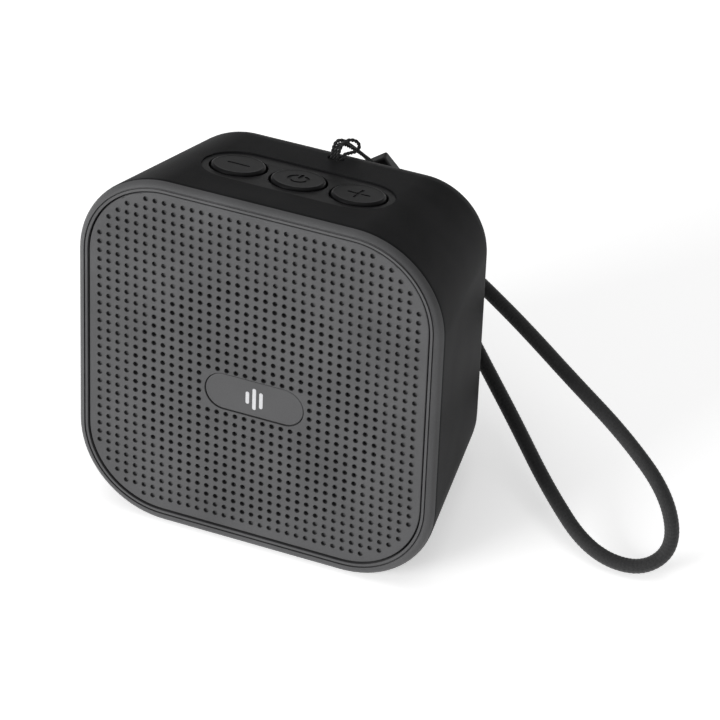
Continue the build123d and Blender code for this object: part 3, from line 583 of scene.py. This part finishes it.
# ---------------------------------------------------------------- perforated grille
# One moulded ABS panel, 0.8 mm thick, with a square grid of round holes 2.3 mm apart.
# Those over the driver go right through. The rest, round it, are blind and for looks only.
PITCH, HOLE_R, RIM_R, HOLE_SIDES = 2.312, 0.62, 0.8, 16
GRID_COUNT, GRID_UP = 35, 0.9
PANEL_DEPTH, PANEL_THICK, BLIND_DEEP, PANEL_GAP = 0.4, 0.8, 0.66, 0.4
FIELD_HALF, FIELD_CORNER = 17.3 * PITCH, 7.0 * PITCH
DRIVER_UP, DRIVER_REACH = -3 * PITCH, 13.4 * PITCH
BADGE_LOW, BADGE_HIGH, BADGE_SIDE = -4.5 * PITCH, -0.5 * PITCH, 5.5 * PITCH


def grille_cell(name, through):
    """One square of the panel with its hole, closed at the back."""
    cell = empty_piece(name)
    bpy.ops.mesh.primitive_plane_add(size=PITCH)
    bpy.ops.mesh.subdivide(number_cuts=3)
    pick(cell, "VERT", lambda c: max(abs(c.x), abs(c.y)) < 0.49 * PITCH)
    bpy.ops.mesh.delete(type="VERT")
    bpy.ops.mesh.primitive_circle_add(vertices=HOLE_SIDES, radius=RIM_R)
    bpy.ops.mesh.select_mode(type="EDGE")
    bpy.ops.mesh.select_all(action="SELECT")
    bpy.ops.mesh.bridge_edge_loops()
    floor_at = PANEL_THICK if through else BLIND_DEEP
    pick(cell, "EDGE", lambda c: c.xy.length < RIM_R + 0.01)
    # A faint raised lip runs round each hole.
    for narrow, rise in ((0.86, 0.04), (HOLE_R / RIM_R / 0.86, -0.05), (0.97, 0.01 - floor_at)):
        bpy.ops.mesh.extrude_region_move(TRANSFORM_OT_translate={"value": (0, 0, rise)})
        bpy.ops.transform.resize(value=(narrow, narrow, 1), center_override=(0, 0, 0))
    if through:
        pick(cell, "EDGE", lambda c: max(abs(c.x), abs(c.y)) > 0.49 * PITCH)
        bpy.ops.mesh.duplicate_move(TRANSFORM_OT_translate={"value": (0, 0, -PANEL_THICK)})
        pick(cell, "EDGE", at_depth(PANEL_THICK))
        bpy.ops.mesh.bridge_edge_loops()
    else:
        bpy.ops.mesh.edge_face_add()
        pick(cell, "EDGE", lambda c: max(abs(c.x), abs(c.y)) > 0.49 * PITCH)
        bpy.ops.mesh.duplicate_move(TRANSFORM_OT_translate={"value": (0, 0, -PANEL_THICK)})
        bpy.ops.mesh.edge_face_add()
    bpy.ops.mesh.select_all(action="SELECT")
    bpy.ops.transform.translate(value=(-(GRID_COUNT // 2) * PITCH, -(GRID_COUNT // 2) * PITCH, 0))
    bpy.ops.object.mode_set(mode="OBJECT")
    for direction in ((PITCH, 0, 0), (0, PITCH, 0)):
        apply_modifier(
            cell,
            "row_of_cells",
            "ARRAY",
            count=GRID_COUNT,
            use_relative_offset=False,
            use_constant_offset=True,
            constant_offset_displace=direction,
        )
    return cell


def keeps_hole(x, up, through):
    """Whether the cell at a grid point belongs to this kind of hole."""
    straight = FIELD_HALF - FIELD_CORNER
    over_x, over_up = max(abs(x) - straight, 0), max(abs(up) - straight, 0)
    in_field = (over_x**2 + over_up**2) ** 0.5 <= FIELD_CORNER
    under_badge = abs(x) < BADGE_SIDE and BADGE_LOW < up < BADGE_HIGH
    over_driver = (x**2 + (up - DRIVER_UP) ** 2) ** 0.5 < DRIVER_REACH
    return in_field and not under_badge and over_driver == through


halves = []
for name, through in (("sound_holes", True), ("blind_holes", False)):
    cells = grille_cell(name, through)
    edit(cells)
    bpy.ops.mesh.select_mode(type="FACE")
    mesh = bmesh.from_edit_mesh(cells.data)
    for face in mesh.faces:
        centre = face.calc_center_bounds()
        column, row = round(centre.x / PITCH) * PITCH, round(centre.y / PITCH) * PITCH
        face.select_set(not keeps_hole(column, row, through))
    bmesh.update_edit_mesh(cells.data)
    bpy.ops.mesh.delete(type="FACE")
    bpy.ops.object.mode_set(mode="OBJECT")
    halves.append(cells)
alone(halves[0])
halves[1].select_set(True)
bpy.ops.object.join()
panel = halves[0]
edit(panel)
bpy.ops.mesh.select_all(action="SELECT")
bpy.ops.mesh.remove_doubles(threshold=0.01)

# The panel's solid rim and the oval window for the badge, filled round the holes.
BADGE_UP, BADGE_LONG, BADGE_TALL = -2.45 * PITCH, 24.6, 9.25
# The badge's window reaches a little into the rows above and below it.
WINDOW_SPARE, WINDOW_GAP = 0.3, 0.3
for edge_at, shift in ((BADGE_HIGH, WINDOW_SPARE), (BADGE_LOW, -WINDOW_SPARE)):
    pick(panel, "VERT", lambda c: abs(c.y - edge_at) < 0.01 and abs(c.x) < BADGE_SIDE - 0.1)
    bpy.ops.transform.translate(value=(0, shift, 0))
panel_half, panel_corner = PANEL_HALF - PANEL_GAP, PANEL_CORNER - PANEL_GAP
window_long, window_tall = BADGE_LONG + WINDOW_GAP, BADGE_TALL + WINDOW_GAP
rounded_outline(2 * panel_half, 2 * panel_half, panel_corner, CORNER_STEPS, PANEL_UP - GRID_UP)
rounded_outline(window_long, window_tall, window_tall / 2 - 0.01, 12, BADGE_UP)


def in_window(place):
    """True for corners in the badge's part of the grid."""
    spare = WINDOW_SPARE + 0.01
    return abs(place.x) < BADGE_SIDE + 0.01 and BADGE_LOW - spare < place.y < BADGE_HIGH + spare


def fill_between(piece, depth, test):
    """Fills the flat gap between the open edges at one depth whose corners pass a test."""
    bpy.ops.mesh.select_mode(type="EDGE")
    bpy.ops.mesh.select_all(action="DESELECT")
    mesh = bmesh.from_edit_mesh(piece.data)
    level = at_depth(depth)
    for edge in mesh.edges:
        single = len(edge.link_faces) < 2
        edge.select_set(single and all(level(c.co) and test(c.co) for c in edge.verts))
    bmesh.update_edit_mesh(piece.data)
    bpy.ops.mesh.fill(use_beauty=True)


def clear_window(depth):
    """Opens the badge's oval window again, inside its own edge."""

    def test(place):
        over = max(abs(place.x) - (window_long - window_tall) / 2, 0)
        reach = (over**2 + (place.y - BADGE_UP) ** 2) ** 0.5
        return reach < window_tall / 2 + 0.02 and abs(place.z + depth) < 0.01

    pick(panel, "FACE", test)
    bpy.ops.mesh.delete(type="FACE")


outline_tests = (in_window, lambda c: not in_window(c))
for outline_test in outline_tests:
    fill_between(panel, 0, outline_test)
clear_window(0)
mesh = bmesh.from_edit_mesh(panel.data)
bpy.ops.mesh.select_mode(type="EDGE")
bpy.ops.mesh.select_all(action="DESELECT")
for edge in mesh.edges:
    edge.select_set(edge.is_boundary and all(abs(c.co.z) < 0.01 for c in edge.verts))
bmesh.update_edit_mesh(panel.data)
bpy.ops.mesh.extrude_region_move(TRANSFORM_OT_translate={"value": (0, 0, -PANEL_THICK)})
for outline_test in outline_tests:
    fill_between(panel, PANEL_THICK, outline_test)
clear_window(PANEL_THICK)
outer_edge = on_outline(panel_half, panel_corner, PANEL_UP - GRID_UP, 0)


def on_window(place):
    """True for corners on the front edge of the badge's window."""
    over = max(abs(place.x) - (window_long - window_tall) / 2, 0)
    reach = (over**2 + (place.y - BADGE_UP) ** 2) ** 0.5
    return abs(reach - window_tall / 2) < 0.03 and abs(place.z) < 0.01


for edge_test, rounding in ((outer_edge, 0.25), (on_window, 0.1)):
    pick(panel, "EDGE", edge_test)
    bpy.ops.mesh.bevel(offset=rounding, segments=3, affect="EDGES")
bpy.ops.mesh.select_all(action="SELECT")
bpy.ops.mesh.normals_make_consistent(inside=False)
bpy.ops.object.mode_set(mode="OBJECT")
PANEL_AT = FACE_AT @ Matrix.Translation((0, GRID_UP, -PANEL_DEPTH))
grille_abs = moulded("grey_abs_grille", "#474748", "#515152", 0.55, GRAIN, 0.00004)
finish_piece(
    panel,
    "perforated_grille",
    PANEL_AT,
    "speaker_body",
    grille_abs,
    ["front_grille"],
    40,
)

# ---------------------------------------------------------------- badge
# An oval ABS inlay pressed into the grille's window, with a plain mark of three bars on it.
# The mark is hot-stamped foil, a little proud of the inlay.


def flat_plate(name, wide, tall, corner, steps, thick, rounding, rounding_steps=3):
    """A rounded plate with its top face at height 0 and its top edge rounded."""
    plate = empty_piece(name)
    rounded_outline(wide, tall, corner, steps)
    bpy.ops.mesh.select_mode(type="EDGE")
    bpy.ops.mesh.select_all(action="SELECT")
    bpy.ops.mesh.edge_face_add()
    bpy.ops.mesh.extrude_region_move(TRANSFORM_OT_translate={"value": (0, 0, -thick)})
    pick(plate, "EDGE", at_depth(0))
    bpy.ops.mesh.bevel(offset=rounding, segments=rounding_steps, affect="EDGES")
    bpy.ops.mesh.select_all(action="SELECT")
    bpy.ops.mesh.normals_make_consistent(inside=False)
    bpy.ops.object.mode_set(mode="OBJECT")
    return plate


badge = flat_plate("badge", BADGE_LONG, BADGE_TALL, BADGE_TALL / 2 - 0.01, 12, 0.6, 0.3)
BADGE_AT = PANEL_AT @ Matrix.Translation((0, BADGE_UP, -0.2))
badge_abs = moulded("grey_abs_badge", "#484849", "#4f4f50", 0.45, GRAIN, 0.00003)
finish_piece(badge, "badge_oval", BADGE_AT, "speaker_body", badge_abs, ["badge_inlay"])
BAR_WIDE, BAR_PITCH, BAR_THICK = 0.9, 1.7, 0.05
bars = []
for step, tall in ((-1, 3.2), (0, 5.6), (1, 4.2)):
    bar = flat_plate("bar", BAR_WIDE, tall, 0.42, 5, BAR_THICK, 0.02, 1)
    bar.data.transform(Matrix.Translation((step * BAR_PITCH, 0, BAR_THICK)))
    bars.append(bar)
alone(bars[0])
for bar in bars:
    bar.select_set(True)
bpy.ops.object.join()
material, tree, shader = new_finish("silver_grey_foil", Roughness=0.4, IOR=1.5)
places = add_node(tree, "ShaderNodeTexCoord")
print_grain = add_node(
    tree, "ShaderNodeTexNoise", {"Scale": 2500.0, "Detail": 2.0}, {"Vector": places.outputs["Object"]}
)
shades = add_node(tree, "ShaderNodeValToRGB", links={"Fac": print_grain.outputs["Fac"]})
shades.color_ramp.elements[0].color = linear("#b4b4b6")
shades.color_ramp.elements[1].color = linear("#cbcbcd")
tree.links.new(shades.outputs["Color"], shader.inputs["Base Color"])
finish_piece(bars[0], "badge_bars", BADGE_AT, "speaker_body", material, ["badge_mark"])

# ---------------------------------------------------------------- silicone sleeve
# A 2 mm black silicone skin is pulled over the shell, from the bezel right round the back.
# It is open for the buttons, the strap's hole, the ports, the light and the microphone.
SLEEVE = 2.0
BUTTON_DEPTH, RECESS_LONG, RECESS_WIDE = 21.5, 46.4, 18.3
TOP_UP = WIDTH / 2 - BUTTON_DEPTH * tan(DRAFT)
TOP_FROM_FACE = Matrix.Translation((0, TOP_UP, -BUTTON_DEPTH)) @ Matrix.Rotation(-pi / 2 - DRAFT, 4, "X")
TOP_AT = FACE_AT @ TOP_FROM_FACE
PORT_UP, PORT_LONG, PORT_TALL = -13.0, 34.0, 12.0
BACK_FROM_FACE = Matrix.Translation((0, PORT_UP, -DEPTH)) @ Matrix.Rotation(pi, 4, "Y")
BACK_AT = FACE_AT @ BACK_FROM_FACE
STRAP_HOLE, STRAP_HOLE_LONG, STRAP_HOLE_WIDE = (1.0, 18.7), 3.8, 2.8
LIGHT_HOLE, LIGHT_D = (-8.0, 11.0), 2.2
SOUND_HOLE, SOUND_D = (8.0, 11.0), 1.2
SEAM = 0.05  # the fine gap between the bezel and the sleeve
CUT_LOW, CUT_HIGH = -4, 2
sleeve = copy_of(case)
edit(sleeve)
bpy.ops.mesh.select_all(action="SELECT")
bpy.ops.mesh.bisect(plane_co=(0, 0, -BAND - SEAM), plane_no=(0, 0, 1), clear_outer=True)
bpy.ops.object.mode_set(mode="OBJECT")
apply_modifier(sleeve, "skin", "SOLIDIFY", thickness=SLEEVE, offset=-1, use_even_offset=True)


def cutter(wide, tall, corner, steps, low, high, place, x=0.0, y=0.0):
    """A rounded prism that cuts an opening, standing on one of the case's sides."""
    prism = empty_piece("cutter")
    rounded_outline(wide, tall, corner, steps, y, -high, x)
    bpy.ops.mesh.select_mode(type="EDGE")
    bpy.ops.mesh.select_all(action="SELECT")
    bpy.ops.mesh.edge_face_add()
    bpy.ops.mesh.extrude_region_move(TRANSFORM_OT_translate={"value": (0, 0, low - high)})
    bpy.ops.mesh.select_all(action="SELECT")
    bpy.ops.mesh.normals_make_consistent(inside=False)
    bpy.ops.object.mode_set(mode="OBJECT")
    prism.data.transform(place)
    return prism


cutters = [
    cutter(wide, tall, corner, steps, CUT_LOW, CUT_HIGH, side, *place)
    for wide, tall, corner, steps, side, place in (
        (RECESS_LONG, RECESS_WIDE, RECESS_WIDE / 2 - 0.01, 16, TOP_FROM_FACE, ()),
        (STRAP_HOLE_LONG, STRAP_HOLE_WIDE, 1.2, 6, TOP_FROM_FACE, STRAP_HOLE),
        (PORT_LONG, PORT_TALL, 1.6, 8, BACK_FROM_FACE, ()),
        (LIGHT_D, LIGHT_D, LIGHT_D / 2 - 0.01, 6, BACK_FROM_FACE, LIGHT_HOLE),
        (SOUND_D, SOUND_D, SOUND_D / 2 - 0.01, 6, BACK_FROM_FACE, SOUND_HOLE),
    )
]
alone(cutters[0])
for prism in cutters:
    prism.select_set(True)
bpy.ops.object.join()
apply_modifier(sleeve, "openings", "BOOLEAN", object=cutters[0], operation="DIFFERENCE", solver="EXACT")
bpy.data.objects.remove(cutters[0])


def on_side(place, long, wide):
    """A test for corners on the outer face of a side, within a rectangle on it."""
    back_to_side = place.inverted()

    def test(corner):
        local = back_to_side @ corner
        return abs(local.z) < 0.03 and abs(local.x) < long / 2 + 0.03 and abs(local.y) < wide / 2 + 0.03

    return test


edit(sleeve)
strap_side = TOP_FROM_FACE @ Matrix.Translation((*STRAP_HOLE, 0))
for side, long, wide, rounding in (
    (TOP_FROM_FACE, RECESS_LONG, RECESS_WIDE, 0.35),
    (strap_side, STRAP_HOLE_LONG, STRAP_HOLE_WIDE, 0.3),
    (BACK_FROM_FACE, PORT_LONG, PORT_TALL, 0.3),
):
    pick(sleeve, "EDGE", on_side(side, long, wide))
    bpy.ops.mesh.bevel(offset=rounding, segments=4, affect="EDGES")
pick(sleeve, "EDGE", at_depth(BAND + SEAM))
bpy.ops.mesh.bevel(offset=0.12, segments=2, affect="EDGES")
bpy.ops.object.mode_set(mode="OBJECT")

# Black silicone: dull, with a very fine sandblasted skin. Its grain is drawn at 0.25 mm.
FINE_GRAIN = 4000.0
silicone = moulded("black_silicone", "#171718", "#242425", 0.6, FINE_GRAIN, 0.00006, 0.05)
finish_piece(sleeve, "sleeve_skin", FACE_AT, "speaker_body", silicone, ["silicone_sleeve"], 30)
bpy.data.objects.remove(case)

# ---------------------------------------------------------------- buttons
# Three soft black keys stand in a sunk oval plate on the sloping top.
# Each has a rolled edge and an engraved sign: minus, power and plus.
BUTTON_PITCH, BUTTON_R, RECESS_DEEP = 14.9, 6.3, 0.3
KEY_GAP, PLATE_THICK = 0.45, 1.2
plate = empty_piece("plate")
rounded_outline(RECESS_LONG - 0.1, RECESS_WIDE - 0.1, RECESS_WIDE / 2 - 0.06, 16, 0, RECESS_DEEP)
for x in (-BUTTON_PITCH, 0, BUTTON_PITCH):
    bpy.ops.mesh.primitive_circle_add(
        vertices=64, radius=BUTTON_R + KEY_GAP, location=(x, 0, -RECESS_DEEP)
    )
bpy.ops.mesh.select_mode(type="EDGE")
bpy.ops.mesh.select_all(action="SELECT")
bpy.ops.mesh.fill(use_beauty=True)
bpy.ops.mesh.select_all(action="SELECT")
bpy.ops.mesh.extrude_region_move(TRANSFORM_OT_translate={"value": (0, 0, -PLATE_THICK)})


def at_key_hole(place):
    """True for corners on the top edge of a key's hole."""
    reaches = [Vector((place.x - x, place.y)).length for x in (-BUTTON_PITCH, 0, BUTTON_PITCH)]
    return abs(min(reaches) - BUTTON_R - KEY_GAP) < 0.02 and abs(place.z + RECESS_DEEP) < 0.01


pick(plate, "EDGE", at_key_hole)
bpy.ops.mesh.bevel(offset=0.22, segments=3, affect="EDGES")
bpy.ops.mesh.select_all(action="SELECT")
bpy.ops.mesh.normals_make_consistent(inside=False)
bpy.ops.object.mode_set(mode="OBJECT")
key_rubber = moulded("black_key_rubber", "#151516", "#1c1c1d", 0.42, FINE_GRAIN, 0.00003, 0.1)
finish_piece(
    plate, "key_surround", TOP_AT, "speaker_body", key_rubber, ["button_plate"]
)


def engraver(name):
    """The solid sign that is cut into a key's top."""
    if name == "power":
        ring = empty_piece("sign")
        for radius in (2.6, 1.8):
            bpy.ops.mesh.primitive_circle_add(vertices=48, radius=radius, location=(0, 0, 1))
        bpy.ops.mesh.select_mode(type="EDGE")
        bpy.ops.mesh.select_all(action="SELECT")
        bpy.ops.mesh.bridge_edge_loops()
        pick(ring, "FACE", lambda c: abs(c.x) < 1.2 and c.y > 0)
        bpy.ops.mesh.delete(type="FACE")
        bpy.ops.mesh.select_all(action="SELECT")
        bpy.ops.mesh.extrude_region_move(TRANSFORM_OT_translate={"value": (0, 0, -0.95)})
        bpy.ops.mesh.select_all(action="SELECT")
        bpy.ops.mesh.normals_make_consistent(inside=False)
        bpy.ops.object.mode_set(mode="OBJECT")
        cuts = [ring, cutter(0.8, 2.8, 0.39, 6, 0.0, 1, Matrix.Identity(4), 0, 1.5)]
    else:
        cuts = [cutter(5.6, 0.7, 0.34, 6, 0.05, 1, Matrix.Identity(4))]
        if name == "plus":
            cuts.append(cutter(0.7, 5.6, 0.34, 6, 0.05, 1, Matrix.Identity(4)))
    return cuts


CAP_TOP, KEY_LOW = 0.3, -3.4
for name, x in (("minus", -BUTTON_PITCH), ("power", 0), ("plus", BUTTON_PITCH)):
    bpy.ops.mesh.primitive_cylinder_add(
        vertices=96, radius=BUTTON_R, depth=CAP_TOP - KEY_LOW, location=(0, 0, (CAP_TOP + KEY_LOW) / 2)
    )
    key = bpy.context.object
    bpy.ops.object.transform_apply(location=True, rotation=True, scale=True)
    edit(key)
    pick(key, "EDGE", lambda c: abs(c.z - CAP_TOP) < 0.01)
    bpy.ops.mesh.bevel(offset=0.7, segments=6, affect="EDGES")
    # The rolled edge stands a little above the key's slightly dished top.
    pick(key, "FACE", lambda c: c.z > CAP_TOP - 0.01)
    bpy.ops.mesh.inset(thickness=0.45, depth=-0.07)
    bpy.ops.object.mode_set(mode="OBJECT")
    for cut in engraver(name):
        apply_modifier(key, "sign", "BOOLEAN", object=cut, operation="DIFFERENCE", solver="EXACT")
        bpy.data.objects.remove(cut)
    key_at = TOP_AT @ Matrix.Translation((x, 0, 0))
    node = f"button_{name}"
    finish_piece(key, f"key_{name}", key_at, node, key_rubber, [node], 30)

# ---------------------------------------------------------------- port cover
# A soft flap closes the bay with the sockets. It turns on a round bead at its one end,
# and has a lip at the other for a fingernail.
COVER_LONG, COVER_TALL, COVER_OFF = 31.9, 11.4, -0.45
LIP_AT, BEAD_AT, BEAD_R = (-COVER_LONG / 2 + 1.9, 0, 0.1), (15.95, 0, -1.0), 0.9
flap = flat_plate("flap", COVER_LONG, COVER_TALL, 1.3, 8, 1.5, 0.35)
edit(flap)
bpy.ops.mesh.primitive_cube_add(size=1, location=LIP_AT)
bpy.ops.transform.resize(value=(1.4, 6.5, 0.5), center_override=LIP_AT)
bpy.ops.mesh.select_mode(type="EDGE")
bpy.ops.mesh.bevel(offset=0.22, segments=3, affect="EDGES")
bpy.ops.object.mode_set(mode="OBJECT")
flap.data.transform(Matrix.Translation((COVER_OFF, 0, -0.15)))
bpy.ops.mesh.primitive_cylinder_add(
    vertices=40, radius=BEAD_R, depth=COVER_TALL, rotation=(pi / 2, 0, 0), location=BEAD_AT
)
bead = bpy.context.object
bpy.ops.object.transform_apply(location=True, rotation=True, scale=True)
edit(bead)
pick(bead, "EDGE", lambda c: c.y > COVER_TALL / 2 - 0.01)
bpy.ops.mesh.bevel(offset=0.2, segments=2, affect="EDGES")
pick(bead, "EDGE", lambda c: c.y < -COVER_TALL / 2 + 0.01)
bpy.ops.mesh.bevel(offset=0.2, segments=2, affect="EDGES")
alone(flap)
bead.select_set(True)
bpy.ops.object.join()
finish_piece(flap, "port_flap", BACK_AT, "port_cover", silicone, ["port_cover"])

# ---------------------------------------------------------------- pieces kept from the frame
# The rest is inside or behind the outer pieces: shells, driver, boards, cell, sockets, wires.
# Each keeps its exact solid and gets the finish of its real material.


def inner_finish(name, dark, light, grain, rise, **values):
    """A plain finish with two close shades and a fine surface, for one real material."""
    material, tree, shader = new_finish(name, **values)
    places = add_node(tree, "ShaderNodeTexCoord")
    speck = add_node(
        tree, "ShaderNodeTexNoise", {"Scale": grain, "Detail": 3.0}, {"Vector": places.outputs["Object"]}
    )
    shades = add_node(tree, "ShaderNodeValToRGB", links={"Fac": speck.outputs["Fac"]})
    shades.color_ramp.elements[0].color = linear(dark)
    shades.color_ramp.elements[1].color = linear(light)
    raised = add_node(
        tree, "ShaderNodeBump", {"Strength": 0.4, "Distance": rise}, {"Height": speck.outputs["Fac"]}
    )
    tree.links.new(shades.outputs["Color"], shader.inputs["Base Color"])
    tree.links.new(raised.outputs["Normal"], shader.inputs["Normal"])
    return material


black_abs = inner_finish("black_abs", "#141415", "#1e1e1f", 2500.0, 0.00004, Roughness=0.5, IOR=1.5)
scrim = inner_finish("black_scrim_cloth", "#060606", "#101010", 2200.0, 0.0001, Roughness=0.95)
foam = inner_finish("closed_cell_foam", "#101011", "#1c1c1d", 1500.0, 0.0002, Roughness=0.9)
steel = inner_finish("zinc_plated_steel", "#8f9196", "#a9abb0", 1200.0, 0.00002, Metallic=1.0, Roughness=0.35)
ferrite = inner_finish("sintered_ferrite", "#262628", "#333336", 1800.0, 0.00005, Roughness=0.7)
paper = inner_finish("pressed_paper_cone", "#17171a", "#232327", 1000.0, 0.0001, Roughness=0.85)
cloth = inner_finish("phenolic_cotton", "#8a6a2c", "#a98543", 1600.0, 0.0001, Roughness=0.9)
copper = inner_finish("enamelled_copper", "#8f4f2a", "#b06a3c", 3000.0, 0.00005, Metallic=1.0, Roughness=0.35)
board = inner_finish(
    "green_solder_mask", "#0d3b22", "#14502f", 900.0, 0.00002, Roughness=0.35, Coat_Weight=0.3
)
epoxy = inner_finish("black_moulding_epoxy", "#121213", "#1d1d1f", 2800.0, 0.00003, Roughness=0.6)
nickel = inner_finish(
    "nickel_plated_shell", "#a6a7a9", "#bcbdc0", 800.0, 0.00001, Metallic=1.0, Roughness=0.28
)
acetal = inner_finish("cream_acetal", "#b8b2a0", "#c9c4b4", 1500.0, 0.00002, Roughness=0.45, IOR=1.48)
lens = inner_finish(
    "clear_polycarbonate",
    "#d9dee2",
    "#e6eaee",
    400.0,
    0.00001,
    Roughness=0.15,
    IOR=1.585,
    Transmission_Weight=0.6,
)
wrap = inner_finish("blue_heat_shrink", "#153a72", "#1c4787", 500.0, 0.00003, Roughness=0.35)
vinyl = inner_finish("red_wire_vinyl", "#7a1414", "#911c1c", 1500.0, 0.00002, Roughness=0.45)
steel_wire = inner_finish(
    "stainless_wire", "#83858a", "#9b9da3", 2000.0, 0.00001, Metallic=1.0, Roughness=0.3
)
FINISH_OF = {
    "inner_plastic": black_abs,
    "grille_plastic": grille_abs,
    "scrim_cloth": scrim,
    "seal_rubber": foam,
    "driver_steel": steel,
    "ferrite": ferrite,
    "cone_paper": paper,
    "spider_cloth": cloth,
    "copper": copper,
    "screw_steel": steel_wire,
    "circuit_board": board,
    "chip_plastic": epoxy,
    "socket_metal": nickel,
    "switch_plunger": acetal,
    "clear_plastic": lens,
    "cell_wrap": wrap,
    "pad_foam": foam,
    "wire_insulation": vinyl,
}
for part in frame["record"]["subparts"]:
    node_object = frame["nodes"][part["node"]]
    if part["material_slot"] in FINISH_OF and not node_object.hide_render:
        node_object.data.materials.clear()
        node_object.data.materials.append(FINISH_OF[part["material_slot"]])

# ---------------------------------------------------------------- studio
# A plain white floor, one large soft light above and a smaller one at the front left.
bpy.ops.mesh.primitive_plane_add(size=6)
floor = bpy.context.object
floor.name = "studio_floor"
material, tree, shader = new_finish("matt_white_floor", Base_Color=linear("#fbfbfb"), Roughness=0.9)
shader.inputs["Specular IOR Level"].default_value = 0.1
shader.inputs["Emission Color"].default_value = linear("#ffffff")
shader.inputs["Emission Strength"].default_value = 0.5
floor.data.materials.append(material)
world = bpy.data.worlds.new("studio")
scene.world = world
world.use_nodes = True
world.node_tree.nodes["Background"].inputs["Color"].default_value = linear("#ffffff")
world.node_tree.nodes["Background"].inputs["Strength"].default_value = 0.25
scene.view_settings.view_transform = "Standard"
for name, place, size, power in (
    ("softbox_top", (-0.1, 0.1, 1.6), 1.4, 7.0),
    ("softbox_front", (-1.0, -1.4, 0.5), 0.9, 29.0),
):
    light = bpy.data.lights.new(name, "AREA")
    light.size, light.energy = size, power
    holder = bpy.data.objects.new(name, light)
    scene.collection.objects.link(holder)
    aim = Vector((0, 0, 0.04)) - Vector(place)
    holder.matrix_world = Matrix.Translation(place) @ aim.to_track_quat("-Z", "Y").to_matrix().to_4x4()
